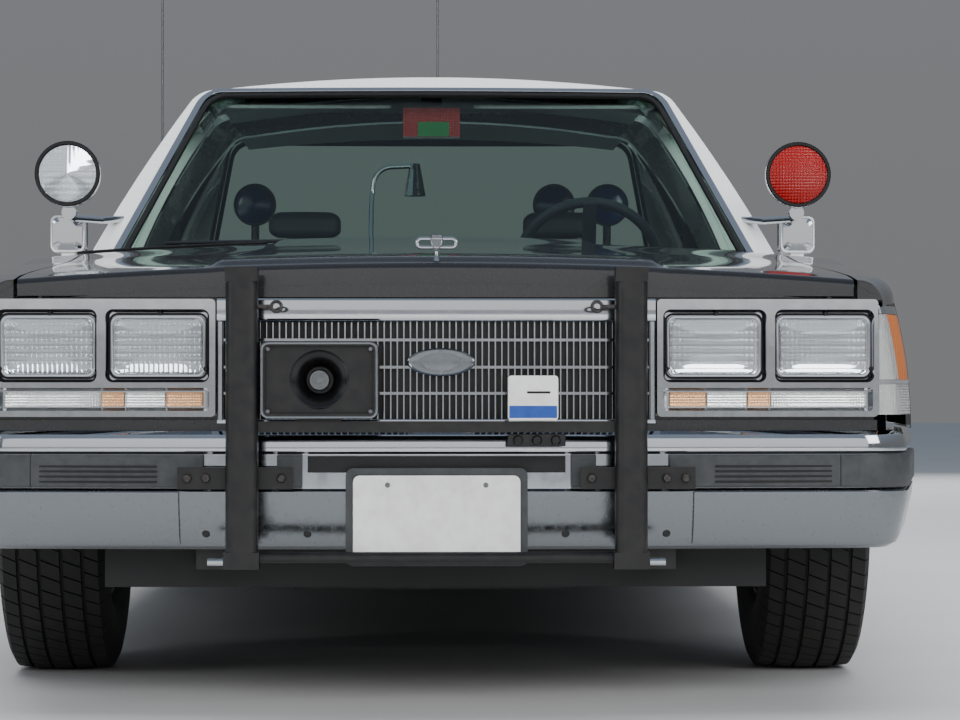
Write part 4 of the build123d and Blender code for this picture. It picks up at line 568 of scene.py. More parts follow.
def make_materials(coat, amber):
    """Every material of the car, by its short key."""
    made = {
        # Black enamel under a clear coat, a little dusty
        "dark": paint("Black enamel", coat.dark, "#6d675d", coat.wear),
        # White enamel under the same coat
        "light": paint("White enamel", coat.light, "#8a8478", coat.wear),
        # Bright plating on bumpers, bezels and mouldings
        "chrome": metal("Chrome plate", "#c9ccd0", 0.07, 0.04, 30),
        # Chrome that has lost some of its gloss, on the bumper's lower panels
        "satin": metal("Worn chrome", "#85898d", 0.22, 0.08, 12),
        # Dulled bright parts near the ground
        "steel": metal("Bare steel", "#7d7f80", 0.38, 0.1, 9),
        # Cast and forged running gear
        "iron": solid("Cast iron", "#34302c", 0.7, "#241f1c", 30, 0.15, 3.0, Metallic=0.5),
        # Thick matt coating on floor, aprons and tank
        "undercoat": solid("Bitumen undercoat", "#17171a", 0.82, "#26231f", 60, 0.5, 6.0),
        # Satin black on frame, brackets and push bar
        "black": solid("Satin black paint", "#0d0d0f", 0.36, "#1b1a19", 25, 0.05, 1.2),
        # Rough black on the chipped crossbar and caps
        "chipped": solid("Chipped black paint", "#0e0e10", 0.45, "#3c3834", 5, 0.25, 2.0),
        # Grey bumper rubber
        "pad": solid("Bumper rubber", "#2f3133", 0.55, "#3a3c3d", 18, 0.04, 1.0),
        # Black weather rubber
        "rubber": solid("Black rubber", "#111112", 0.6, "#1a1a1a", 10, 0.04, 0.8),
        # Tyre compound, dusty in patches
        "tyre": solid("Tyre compound", "#171717", 0.72, "#232220", 40, 0.06, 0.8),
        # Dark plastic of dash and door trims
        "plastic": solid("Grained dark plastic", "#1b1d22", 0.6, "#202228", 20, 0.12, 1.0),
        # Gloss black mouldings of lamps
        "gloss": solid("Gloss black plastic", "#0a0a0b", 0.22, "#101011", 20),
        # Woven cloth of the front seats
        "cloth": solid("Woven seat cloth", "#23262e", 0.95, "#2c303a", 3, 0.3, 1.1,
                       Sheen_Weight=0.4, Sheen_Roughness=0.4),
        # Grained vinyl of the rear seat
        "vinyl": solid("Grained vinyl", "#1d2027", 0.5, "#23262d", 25, 0.15, 1.3),
        # Dark looped carpet, also on the parcel shelf
        "carpet": solid("Loop carpet", "#191a1d", 0.98, "#26272a", 4, 1.2, 3.0),
        # Pale cloth headliner
        "liner": solid("Headliner cloth", "#8f9294", 0.95, "#989b9c", 4, 0.2, 1.5),
        # Enamelled white plate
        "plate": solid("White plate enamel", "#d4d6d3", 0.35, "#c6c7c3", 30),
        # Blue strip on the tag box
        "blue": solid("Blue enamel", "#1c3f86", 0.35, "#22478f", 20),
        # Painted wheel with a metallic sheen
        "wheel": solid("Silver wheel enamel", "#7e8082", 0.38, "#6f6f6e", 30, Metallic=0.6),
        # Aluminium core of the radiator
        "alloy": metal("Aluminium", "#a4a6a8", 0.4, 0.1, 6),
        # Clear windows with a faint green tint
        "glass": window_glass("Window glass", "#e6efeb", 0.4),
        # Pressed clear glass of the headlamps
        "lamp": lens("Pressed lamp glass", "#f3f6f8", 9.0, 14.0, 0.7, 0.05, 0.95),
        # Clear fluted marker plastic
        "clear": lens("Clear fluted plastic", "#dfe1df", 5.0, 5.0, 0.5, 0.16, 0.75),
        # Amber turn lamp plastic
        "amber": lens("Amber plastic", amber, 6.0, 0.0, 0.4, 0.18, 0.45),
        # Clear turn lamp cells with amber bulbs behind them
        "peach": lens("Clear plastic over amber", "#d9a679", 5.0, 5.0, 0.5, 0.16, 0.6),
        # Red tail lamp plastic
        "red": lens("Red lens plastic", "#a3100c", 7.0, 7.0, 0.4, 0.18, 0.35),
        # Dark blue lens of the round cabin lamps
        "navy": solid("Dark blue lens", "#10204a", 0.18, "#14265a", 20, Coat_Weight=0.5),
        # Plain green sticker
        "green": solid("Green sticker", "#1f6b3c", 0.5),
        # Silvered reflector
        "mirror": metal("Silvered reflector", "#e6e8ea", 0.03, 0.01, 20),
    }
    MATERIALS.update((key, look.material) for key, look in made.items())


NODE_LOOKS = {
    "dark": "fenders quarter_panels nose_panel cowl_panel tail_panel body_pillars hood trunk_lid"
            " rear_door_left rear_door_right",
    "light": "roof front_door_left front_door_right",
    "chrome": "grille lamp_bezels bumpers spotlights",
    "black": "chassis_frame push_bar siren_speaker",
    "undercoat": "floor_pan engine_aprons trunk_floor fuel_tank",
    "rubber": "air_dam",
    "pad": "bumper_pads",
    "plate": "number_plates tag_box",
    "glass": "fixed_glass front_door_glass_left front_door_glass_right"
             " rear_door_glass_left rear_door_glass_right",
    "lamp": "headlamps",
    "amber": "marker_lenses",
    "red": "tail_lamps",
    "plastic": "dashboard steering_wheel parcel_shelf",
    "cloth": "front_seat",
    "vinyl": "rear_seat",
    "gloss": "interior_lamps",
    "iron": "engine_block rear_axle front_suspension knuckle_left knuckle_right driveline",
    "alloy": "radiator",
    "steel": "exhaust antennas",
    "tyre": "tyre_front_left tyre_front_right tyre_rear_left tyre_rear_right",
    "wheel": "rim_front_left rim_front_right rim_rear_left rim_rear_right",
}
# Copies of CAD nodes with bevelled edges: nodes, material, bevel in mm
COPIES = (
    ("roof", "light", 2.0), ("bumpers", "chrome", 1.5), ("lamp_bezels", "chrome", 1.2),
    ("nose_panel tail_panel", "dark", 1.5), ("bumper_pads", "pad", 0.6),
    ("chassis_frame", "black", 2.0), ("front_suspension rear_axle", "iron", 1.5),
    ("driveline knuckle_left knuckle_right", "iron", 1.0), ("exhaust antennas", "steel", 0),
    ("fuel_tank", "undercoat", 3.0), ("rear_door_left rear_door_right", "dark", 1.2),
    ("front_door_left front_door_right", "light", 1.2), ("engine_block", "iron", 4.0),
)


# Pieces


class Piece:
    """Undo support shared by the operators."""
    bl_options = {"REGISTER", "UNDO"}


class PATROL_OT_finish(Piece, bpy.types.Operator):
    """Makes the materials and finishes the CAD nodes that keep their shape"""
    bl_idname = "patrol.finish"
    bl_label = "Materials and plain nodes"

    def execute(self, context):
        make_materials(context.scene.patrol_paint, context.scene.patrol_trim.amber)
        for key, names in NODE_LOOKS.items():
            for name in names.split():
                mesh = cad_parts[name].data
                mesh.materials.clear()
                mesh.materials.append(MATERIALS[key])
        for names, key, bevel in COPIES:
            for node in names.split():
                moves = node.startswith(("knuckle", "front_door", "rear_door"))
                copy = refined(node, key, bevel, 32.0, node if moves else "root")
                if node == "bumpers":
                    tint(copy, "satin", (0, -3000, 300), (1000, 3000, 420))
                if "door" in node:
                    tint(copy, "pad", (940, -3000, PAD_LOW), (1000, 3000, PAD_HIGH))
                    tint(copy, "plastic", (600, -3000, 300), (823, 3000, 900))
        return {"FINISHED"}


QUARTER_FOOT_END = 1886.0
TAIL_TOP = 858.0
CORNER_TOP = 766.0


def hood_half(y):
    """Half width of the hood's outline at a place."""
    return 768.0 + 32.0 * (y - Y_NOSE) / (Y_COWL - Y_NOSE)


class PATROL_OT_panels(Piece, bpy.types.Operator):
    """Smooth outer skins over the fenders, doors and rear quarters"""
    bl_idname = "patrol.panels"
    bl_label = "Painted skins"

    def execute(self, context):
        for name, s in SIDES:
            # Fender, from the corner lamp to the door, over the arch
            y, low = with_arch(Y_LAMPS + 1, Y_DOOR - 5, Y_FRONT_AXLE)
            behind = y > Y_FRONT_AXLE
            low[behind] = np.where(y > Y_FRONT_AXLE + ARCH_R, SILL_Z + 2, arch_top(y, Y_FRONT_AXLE))[behind]
            grid = mirrored(skin(y, low, hood_half(y) + 6), s)
            panel(f"fender_skin_{name}", grid, -SKIN * s, "dark", bevel=1.0)
            # Corner of the fender in front of it, over the corner lamp, with its front edge turned down
            y = np.linspace(Y_NOSE + 1.5, Y_LAMPS - 1, 16)
            foot = smooth_rows(y)[1] - SHOULDER_DROP - 2
            grid = skin(y, foot, hood_half(y) + 6, (3, 10, 8))
            front = grid[:, :1] * [1, 1, 0] + [0, 0, CORNER_TOP]
            front[:, 0, 2] = np.minimum(grid[:, 0, 2] - 1, CORNER_TOP)
            grid = mirrored(np.concatenate([front, grid], axis=1), s)
            panel(f"fender_corner_{name}", grid, -SKIN * s, "dark", bevel=0.6)
            for door, y0, y1, key in (("front_door", Y_DOOR + 5, Y_POST - 13, "light"),
                                      ("rear_door", Y_POST + 13, 985.0, "dark")):
                y = np.linspace(y0, y1, 40)
                reach = ARCH_R + 14
                over_wheel = (np.abs(y - Y_REAR_AXLE) < reach) & (door == "rear_door")
                low = np.where(over_wheel, arch_top(y, Y_REAR_AXLE, reach), DOOR_FOOT)
                grid = mirrored(skin(y, low, BELT_X, (22, 8, 3)), s)
                panel(f"{door}_skin_{name}", grid, -SKIN * s, key, f"{door}_{name}", bevel=1.0)
            # Rear quarter, with its lower corner between the wheel opening and the bumper's end
            y, low = with_arch(1013.0, Y_TAIL - 1, Y_REAR_AXLE)
            y, low = np.insert(y, 0, 1011.0), np.insert(low, 0, low[0])
            low = np.where((y > Y_REAR_AXLE + ARCH_R - 1) & (y < QUARTER_FOOT_END), SILL_Z + 85, low)
            grid = skin(y, low, np.where(y < Y_DECK, BELT_X, 704.0))
            panel(f"quarter_skin_{name}", mirrored(grid, s), -SKIN * s, "dark", bevel=1.0)
            # Rear end of the quarter, from the tail lamp up to its crown
            edge = grid[:, -1][grid[:, -1, 2] > TAIL_TOP + 2]
            edge = np.stack([edge * [1, 1, k] + [0, 0.4, TAIL_TOP * (1 - k)] for k in (0, 0.5, 1)])
            panel(f"quarter_end_{name}", mirrored(edge, s), SKIN * s, "dark")
        return {"FINISHED"}


GRILLE_HALF, GRILLE_FOOT, FIELD_TOP, HEADER_TOP = 402.0, 546.0, 726.0, 771.0
RAIL_LEVELS = (595.0, 643.0, 693.0)
BADGE_X, BADGE_Z = 8, 652
BAR_PROFILE = np.array([(-1.8, 11), (-1.8, 1.0), (-1.3, 0.1), (0, 0), (1.3, 0.1), (1.8, 1.0), (1.8, 11)])
RAIL_PROFILE = np.array([(1.5, -2.5), (-1.0, -2.5), (-2.6, 0), (-1.0, 2.5), (1.5, 2.5)])


class PATROL_OT_grille(Piece, bpy.types.Operator):
    """Fine upright bars, three rails and the rounded bright header in front of a dark screen"""
    bl_idname = "patrol.grille"
    bl_label = "Grille"

    def execute(self, context):
        pitch = context.scene.patrol_trim.bar_pitch / MM
        face, half, inner = Y_NOSE + 8, GRILLE_HALF, GRILLE_HALF - 4
        count = int((2 * half - 20) / pitch)
        xs = (np.arange(count) - (count - 1) / 2) * pitch
        # Upright bars: a half-round front carried from foot to header
        levels = (GRILLE_FOOT + 2, FIELD_TOP - 1)
        rings = [[xyz(x + BAR_PROFILE[:, 0], face + BAR_PROFILE[:, 1], z) for z in levels] for x in xs]
        bars = loft("grille_bars", rings, "chrome")
        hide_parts("grille")
        for i, z in enumerate(RAIL_LEVELS):
            strip(f"grille_rail_{i}", xyz((-inner, inner), face + 1.5, z), RAIL_PROFILE, "chrome")
        header = rounded(30.0, HEADER_TOP - FIELD_TOP, 7.0, 6) * [-1, 1]
        path = xyz((-half, half), Y_NOSE + 13, (HEADER_TOP + FIELD_TOP) / 2)
        strip("grille_header", path, header, "chrome")
        strip("grille_sill", xyz((-half, half), Y_NOSE + 14, GRILLE_FOOT - 3), rounded(22, 10, 3), "chrome")
        for name, s in SIDES:
            path = xyz(s * (half - 6), Y_NOSE + 16, (GRILLE_FOOT, FIELD_TOP))
            strip(f"grille_side_{name}", path, rounded(12, 26, 3), "chrome", up=BACKWARD)
        boxes("grille_screen", [(-inner, inner, Y_NOSE + 24, Y_NOSE + 30, GRILLE_FOOT, FIELD_TOP)], "black")
        # Bare oval badge: a shallow domed oval with a raised rim
        levels = ((1, 7), (1, 0.5), (0.95, -1.2), (0.9, 0.2), (0.86, 0.8), (0.5, -0.6), (0.1, -1.0))
        levels = [(k, Y_NOSE + y) for k, y in levels]
        stacked("badge_oval", circle(62, 48, 0.42), BADGE_X, BADGE_Z, levels, "satin")
        return {"FINISHED"}


# Headlamps: name, distance from the car's middle, and how far off the aiming knob stands
LAMP_PLACES = (("inner", 511.0, -87), ("outer", 713.0, 87))
LAMP_Z, LAMP_WIDE, LAMP_HIGH = 682.0, 163, 102
SEAT_Y = Y_NOSE + 24
LAMP_CAP = [(0.01, 0), (9, 1), (10, 4), (10, 12), (0.01, 12)]


def bowl(name, x, z, y_mouth):
    """Open reflector: a rounded rectangle that shrinks to a small disc along a parabola 22 mm deep."""
    outline = rounded(LAMP_WIDE - 5, LAMP_HIGH - 4, 12, 8)
    angle = np.arctan2(outline[:, 1], outline[:, 0])
    disc = np.stack([np.cos(angle), np.sin(angle)], -1) * (LAMP_HIGH - 4) / 2
    rings = []
    for t in np.linspace(1, 0.08, 14):
        blend = (1 - t) ** 1.2
        rings.append(facing((outline * (1 - blend) + disc * blend) * t, x, y_mouth + 22 * (1 - t * t), z))
    return loft(name, rings + [r + [0, 1.0, 0] for r in rings[::-1]], "mirror", wrap=True)


class PATROL_OT_headlamps(Piece, bpy.types.Operator):
    """Sealed-beam lamps: silvered bowl, bulb cap, bowed pressed lens, retaining ring and aiming knobs"""
    bl_idname = "patrol.headlamps"
    bl_label = "Headlamps"

    def execute(self, context):
        # Lens: rounded rectangles that shrink towards a bowed middle
        levels = [(1.0, SEAT_Y - 2.0)]
        levels += [(t, SEAT_Y - 17.0 * (1 - 0.45 * t**4)) for t in (1.0, 0.97, 0.85, 0.65, 0.4, 0.15)]
        for name, s in SIDES:
            for place, away, knob in LAMP_PLACES:
                x, z, tag = s * away, LAMP_Z, f"{name}_{place}"
                outline = rounded(LAMP_WIDE, LAMP_HIGH, 12, 8)
                glass = stacked(f"lamp_lens_{tag}", outline, x, z, levels, "lamp", sharp=60)
                if tag == "left_inner":
                    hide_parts("headlamps")
                bowl(f"lamp_bowl_{tag}", x, z, SEAT_Y - 1.5)
                lathe(f"lamp_cap_{tag}", LAMP_CAP, (x, SEAT_Y + 1, z), BACKWARD, "satin", count=20)
                for part, wider, higher, corner, out, profile, key in (
                        ("ring", 6, 6, 14, 7, rounded(6, 7, 2, 3), "chrome"),
                        ("gasket", 15, 16, 15, 1.5, rounded(4, 4, 1, 3), "rubber")):
                    loop = rounded(LAMP_WIDE + wider, LAMP_HIGH + higher, corner, 8)
                    strip(f"lamp_{part}_{tag}", facing(loop, x, SEAT_Y - out, z), profile, key, up=BACKWARD,
                          closed=True)
                knobs = [(x + s * knob, SEAT_Y - 8, z - 42), (x + 4, SEAT_Y - 8, z + 60)]
                studs(f"lamp_knobs_{tag}", knobs, 4.2, 5.0, FORWARD, "gloss", count=12)
        return {"FINISHED"}


# Turn lamp segments under the headlamps: from, to (distance from the car's middle), material
TURN_CELLS = ((428, 496, "peach"), (497, 571, "clear"), (572, 614, "peach"), (615, 790, "clear"))
TURN_Z, TURN_HIGH = 584, 27.0
# Corner lamp parts: name, foot, top, material of the stretch round the corner
CORNER_X = 812
CORNER_PARTS = (("cap", 742.0, 757.0, ""), ("upper", 620.0, 741.0, "amber"), ("lower", 556.0, 612.0, "clear"))


class PATROL_OT_markers(Piece, bpy.types.Operator):
    """Turn lamps in amber and clear cells, and the fluted corner lamps with their amber edge"""
    bl_idname = "patrol.markers"
    bl_label = "Turn and corner lamps"

    def execute(self, context):
        for name, s in SIDES:
            for i, (x0, x1, key) in enumerate(TURN_CELLS):
                outline = rounded(x1 - x0 - 0.6, TURN_HIGH, 2.0, 4)
                levels = [(k, SEAT_Y - y) for k, y in ((1, 1), (1, 15), (0.97, 17), (0.5, 17.6))]
                middle = s * (x0 + x1) / 2
                cell = stacked(f"turn_cell_{name}_{i}", outline, middle, TURN_Z, levels, key, sharp=50)
                if (name, i) == ("left", 0):
                    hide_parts("marker_lenses")
            back = (s * 424, s * 794, SEAT_Y - 2, SEAT_Y, TURN_Z - 15, TURN_Z + 15)
            boxes(f"turn_back_{name}", [back], "mirror")
            # Corner lamps: nose line in plan, wrapped round the corner
            for tag, z0, z1, key in CORNER_PARTS:
                ys = np.linspace(Y_NOSE + 9, Y_LAMPS - 9, 12)
                face = []
                for z in np.linspace(z0, z1, 10):
                    flat = np.linspace(CORNER_X + 2, side_x(Y_NOSE + 6, z, 0) - 7, 6)
                    face.append(np.concatenate([xyz(flat, Y_NOSE + 1, z), xyz(side_x(ys, z, 0), ys, z)]))
                grid = mirrored(face, s)
                if tag == "cap":
                    panel(f"corner_cap_{name}", grid, -3.0 * s, "chrome", sharp=30)
                    continue
                for part, columns, look in ((tag, grid[:, :8], "clear"), (f"wrap_{tag}", grid[:, 7:], key)):
                    lamp = panel(f"corner_{part}_{name}", columns, -3.0 * s, look, sharp=30)
                panel(f"corner_back_{tag}_{name}", grid + [-6 * s, 9, 0], -1.5 * s, "mirror")
            divider = (s * CORNER_X, s * (CORNER_X + 56), Y_NOSE + 3, Y_NOSE + 20, 612.5, 619.5)
            boxes(f"corner_divider_{name}", [divider], "chrome")
        return {"FINISHED"}


PUSH_BAR_X, EYE_Y, EYE_Z = 350, -2700, 751


class PATROL_OT_push_bar(Piece, bpy.types.Operator):
    """Push bar copy with chipped caps, strap bolts, inner eye fittings and bright stubs"""
    bl_idname = "patrol.push_bar"
    bl_label = "Push bar"

    def execute(self, context):
        bar = refined("push_bar", "black", 2.5, 35)
        tint(bar, "chipped", (300, -2800, 794), (400, -2600, 830))
        for name, s in SIDES:
            x = s * PUSH_BAR_X
            bolts = [(x + s * k, -2673.5, 442) for k in (-70, 66, 100)]
            studs(f"strap_bolts_{name}", bolts, 9, 9, FORWARD, "chipped")
            arm = xyz((x - s * 28, x - s * 52), EYE_Y, EYE_Z)
            strip(f"eye_arm_{name}", arm, circle(4, 10), "chipped")
            ring = facing(circle(9, 20), x - s * 62, EYE_Y, EYE_Z)
            strip(f"eye_ring_{name}", ring, circle(3.2, 8), "chipped", up=BACKWARD, closed=True)
            stub = xyz((x + s * 34, x + s * 62), -2690, 292)
            strip(f"bar_stub_{name}", stub, circle(7, 12), "chrome")
        return {"FINISHED"}


SIREN_X = -211.0
SIREN_HORN = [(52, 14.2), (50, 13.6), (44, 18), (34, 26), (27, 36), (24, 46), (24, 47), (55, 15.5)]
SIREN_DISC = [(0.01, -1.2), (6, -1.0), (6.5, -1.8), (9, -1.8), (9.5, -1), (13, -0.8), (13.5, -2), (17, -2),
              (19, 0), (20, 4), (0.01, 4)]


class PATROL_OT_siren(Piece, bpy.types.Operator):
    """Siren speaker with worn bright rim, flared horn and plain ringed disc, blank tag box and relay block"""
    bl_idname = "patrol.siren"
    bl_label = "Siren speaker and tag box"

    def execute(self, context):
        refined("siren_speaker", "black", 1.5)
        low, high = [np.array(c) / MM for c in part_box("siren_speaker")]
        x, y, z = SIREN_X, low[1], (low[2] + high[2]) / 2 + 2
        strip("siren_rim", facing(rounded(206, 133, 12, 6), x, y + 1.5, z), rounded(5, 5, 1.5, 3), "satin",
              up=BACKWARD, closed=True)
        lathe("siren_horn", SIREN_HORN, (x, y, z), BACKWARD, "gloss", count=40, wrap=True)
        lathe("siren_disc", SIREN_DISC, (x, y + 16, z), BACKWARD, "steel", count=36)
        corners = [(x + a * 92, y + 2.5, z + b * 56) for a in (-1, 1) for b in (-1, 1)]
        studs("siren_screws", corners, 4, 3, FORWARD, "steel", count=8)
        refined("tag_box", "plate", 1.2)
        low, high = [np.array(c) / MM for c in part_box("tag_box")]
        stripe = (low[0] + 2, high[0] - 2, low[1] - 0.6, low[1] + 2, low[2] + 6, low[2] + 28)
        boxes("tag_stripe", [stripe], "blue")
        window = (low[0] + 34, high[0] - 14, low[1] - 0.8, low[1] + 2, low[2] + 50, low[2] + 54)
        boxes("tag_window", [window], "gloss")
        # Relay block with three knobs below the tag box
        boxes("relay_block", [(128, 232, -2694, -2672, 500, 522)], "black", bevel=1.5)
        studs("relay_knobs", xyz((146, 180, 214), -2694, 511), 9, 10, FORWARD, "gloss", count=14)
        return {"FINISHED"}


PLATE_FRONT_Y = -2658.5


class PATROL_OT_plates(Piece, bpy.types.Operator):
    """Blank number plates with a raised edge, screws and dark holders"""
    bl_idname = "patrol.plates"
    bl_label = "Number plates"

    def execute(self, context):
        refined("number_plates", "pad", 1.0)
        rear_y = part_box("number_plates")[1][1] / MM
        # Rings of the raised edge: depth, and inset from the outline
        edge = ((4, 0), (-0.8, 0), (-1.4, 1.2), (-1.2, 3.5), (-0.6, 5), (-0.6, 60))
        for tag, y, z, s in (("front", PLATE_FRONT_Y, 371.0, 1), ("rear", rear_y, 754.0, -1)):
            levels = [(np.array([1 - i / 152, 1 - i / 76]), y + s * d) for d, i in edge]
            sheet = stacked(f"plate_{tag}", rounded(303, 150.5, 12, 6), 0, z, levels, "plate", sharp=25)
            screws = xyz((-89, 89), y + s, z + 58)
            studs(f"plate_screws_{tag}", screws, 5.5, 2.0, (0, -s, 0), "steel", count=10)
        studs("plate_clips", xyz((-123, 123), PLATE_FRONT_Y + 0.5, 297.5), 6, 2, FORWARD, "chrome", count=8)
        return {"FINISHED"}


SPOT_X, SPOT_Z = 850, 1101
SPOT_RING = [(66, 3), (69, 0.4), (74, 0.3), (76, 3), (76.8, 14), (76.5, 27), (70, 28), (66, 14)]
SPOT_LENS = [(0.01, -6.5), (30, -5.5), (55, -2.2), (67, 2.5), (67, 4.5), (55, 0.6), (30, -2.4), (0.01, -3.4)]
SPOT_BOWL = [(66.5, 5.2), (50, 3.6), (30, 1.4), (0.01, -1.6), (0.01, -0.6), (30, 2.4), (50, 4.6), (67, 6.2)]


class PATROL_OT_spotlights(Piece, bpy.types.Operator):
    """Pillar spotlights: dark rim, bowl, and a clear or red lens before the bright housing and arm"""
    bl_idname = "patrol.spotlights"
    bl_label = "Spotlights"

    def execute(self, context):
        refined("spotlights", "chrome", 0.8)
        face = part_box("spotlights")[0][1] / MM
        for name, s in SIDES:
            centre = (s * SPOT_X, face, SPOT_Z)
            lathe(f"spot_ring_{name}", SPOT_RING, centre, BACKWARD, "gloss", count=48, wrap=True)
            lathe(f"spot_lens_{name}", SPOT_LENS, centre, BACKWARD, "red" if s > 0 else "lamp", count=48)
            lathe(f"spot_bowl_{name}", SPOT_BOWL, centre, BACKWARD, "mirror", count=48)
        return {"FINISHED"}


# Cabin surface and lines on it

# Place, half width at the belt, half width at the roof rail, rail height, roof height, mm
CABIN = np.array((
    (-1169.5, 812.0, 570.0, 1325.4, 1386.0), (-419.5, 838.0, 618.0, 1330.2, 1398.0),
    (100.5, 858.0, 640.0, 1335.0, 1410.0), (873.5, 850.0, 632.0, 1324.6, 1384.0),
    (1373.5, 834.0, 614.0, 1311.0, 1350.0)))
# Side windows in side view, (place, height), and the doors they belong to
WINDOWS = {
    "front_door": ((-817.0, 941.0), (-328.0, 1288.0), (25.5, 1288.0), (25.5, 941.0)),
    "rear_door": ((105.5, 941.0), (105.5, 1288.0), (708.0, 1288.0), (932.0, 941.0)),
}
SHIELD_UP, BACK_UP = (0, -0.579, 0.815), (0, 0.725, 0.689)


def cabin_rows(y):
    """Belt half width, rail half width, rail height and roof height, on straight lines between places."""
    return [np.interp(y, CABIN[:, 0], column) for column in CABIN[:, 1:].T]


def cabin_x(y, z, proud=0.8):
    """Cabin side: the arc through belt, middle and roof rail at each place, stood proud a little."""
    belt, rail, rail_z, _ = cabin_rows(y)
    middle = ((belt + rail) / 2 + 12, (905 + rail_z) / 2)
    cx, cz, r = through_three((belt + 12, 870.0), middle, (rail, rail_z))
    return cx + np.sqrt(np.maximum(r**2 - (z - cz) ** 2, 0)) + proud


def bowed(x, depth):
    """Sag of a plan arc that is depth deep 750 mm from the middle."""
    sag = depth * (972 / 750) ** 2
    r = (972.0**2 + sag**2) / (2 * sag)
    return r - np.sqrt(r**2 - np.asarray(x, float) ** 2)


def shield_y(x, z):
    """Windshield surface: a rake of 620 in 440, bowed in plan."""
    return -1069.5 + (z - 930) * 620 / 440 + bowed(x, 75)


def backlight_y(x, z):
    """Rear window surface: a rake of 380 in 400, bowed in plan."""
    return Y_GLASS - (z - 975) * 0.95 - bowed(x, 40)


def on_glass(surface, line, out=0.0):
    """An (x, height) line laid on a bowed window, moved back along the car by out mm."""
    x, z = np.asarray(line, float).T
    return xyz(x, surface(x, z) + out, z)


def rounded_path(points, radius, steps=7):
    """Open line whose inner corners are rounded by arcs of a radius."""
    points = np.asarray(points, float)
    out = [points[0]]
    for a, b, c in zip(points[:-2], points[1:-1], points[2:]):
        la, lc = np.linalg.norm(a - b), np.linalg.norm(c - b)
        to_a, to_c = (a - b) / la, (c - b) / lc
        half = np.arccos(np.clip(to_a @ to_c, -1, 1)) / 2
        if np.pi / 2 - half < 0.01:
            out.append(b)
            continue
        back = min(radius / np.tan(half), la * 0.48, lc * 0.48)
        middle = to_a + to_c
        centre = b + middle / np.linalg.norm(middle) * back / np.cos(half)
        p, q = b + to_a * back - centre, b + to_c * back - centre
        for t in np.linspace(0, 1, steps):
            v = (1 - t) * p + t * q
            out.append(centre + v / np.linalg.norm(v) * np.linalg.norm(p))
    return np.array(out + [points[-1]])


def rounded_loop(points, radius, steps=7):
    """Closed outline with rounded corners, begun between its last and first point."""
    points = np.asarray(points, float)
    start = (points[:1] + points[-1:]) / 2
    return rounded_path(np.concatenate([start, points, start]), radius, steps)


def dense(path, step=30.0):
    """The same line with points no further apart than step mm."""
    path = np.asarray(path, float)
    rows = [path[:1]]
    for a, b in zip(path[:-1], path[1:]):
        n = max(int(np.ceil(np.linalg.norm(b - a) / step)), 1)
        rows.append(a + (b - a) * np.linspace(0, 1, n + 1)[1:, None])
    return np.concatenate(rows)


def side_line(path, surface, s, proud, step=30.0):
    """A (place, height) line laid on the body side or the cabin side."""
    y, z = dense(path, step).T
    return xyz(s * surface(y, z, proud), y, z)


def side_plate(name, y, z, outline, levels, material, s, body="root", surface=side_x):
    """Upright plate facing sideways on a surface; each level is (distance out, inset) in mm."""
    reach = np.abs(outline).max(0)
    base = surface(y, z, 0)
    rings = [xyz(s * (base + out), y + ring[:, 0], z + ring[:, 1])
             for out, ring in ((out, outline * (1 - inset / reach)) for out, inset in levels)]
    return loft(name, rings, material, body)


def smoothstep(t):
    """Rise from 0 to 1 that starts and ends level."""
    t = np.clip(t, 0, 1)
    return t * t * (3 - 2 * t)


# Lids


def lid(name, node, half, end_y, far_y, foot_z, lift):
    """Lid as one closed sheet 8 mm thick: upright end face, edge rolled by 13 mm and crowned top."""
    roll, step, way = 13.0, 70.0, 1 if far_y > end_y else -1
    across = np.linspace(-1, 1, 151)
    x, start = half(end_y) * across, end_y + way * roll
    z_end = crown_z(start, x) + lift(x, start)
    rows = [xyz(x, end_y, foot_z + (z_end - roll - foot_z) * t) for t in (0, 0.5, 1)]
    for a in np.linspace(0, math.pi / 2, 7)[1:]:
        rows.append(xyz(x, end_y + way * roll * (1 - math.cos(a)), z_end - roll + roll * math.sin(a)))
    # The top has closer rows over its first 70 mm, where the raised middle begins
    near = start + way * step * np.linspace(0, 1, 18)[1:] ** 1.3
    for y in np.concatenate([near, np.linspace(start + way * step, far_y, 48)[1:]]):
        x = half(y) * across
        rows.append(xyz(x, y, crown_z(y, x) + lift(x, y)))
    obj = panel(name, rows, -8.0 * way, "dark", node, bevel=1.2, sharp=40)
    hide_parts(node)
    grid = []
    for y in np.linspace(end_y + way * 40, far_y - way * 30, 24):
        x = half(y) * across[::6] * 0.95
        grid.append(xyz(x, y, crown_z(y, x) - 13.0))
    panel(name + "_liner", grid, -14.0 * way, "undercoat", node, bevel=2.0)


ORNAMENT_Z = 872.0
SHIELD = np.array([(-12, 4), (-9, -7), (0, -17), (9, -7), (12, 4), (11, 15), (6, 17), (0, 15), (-6, 17),
                   (-11, 15)])
STEM = [(9, 0), (7, 3), (3.4, 9), (2.8, 30)]


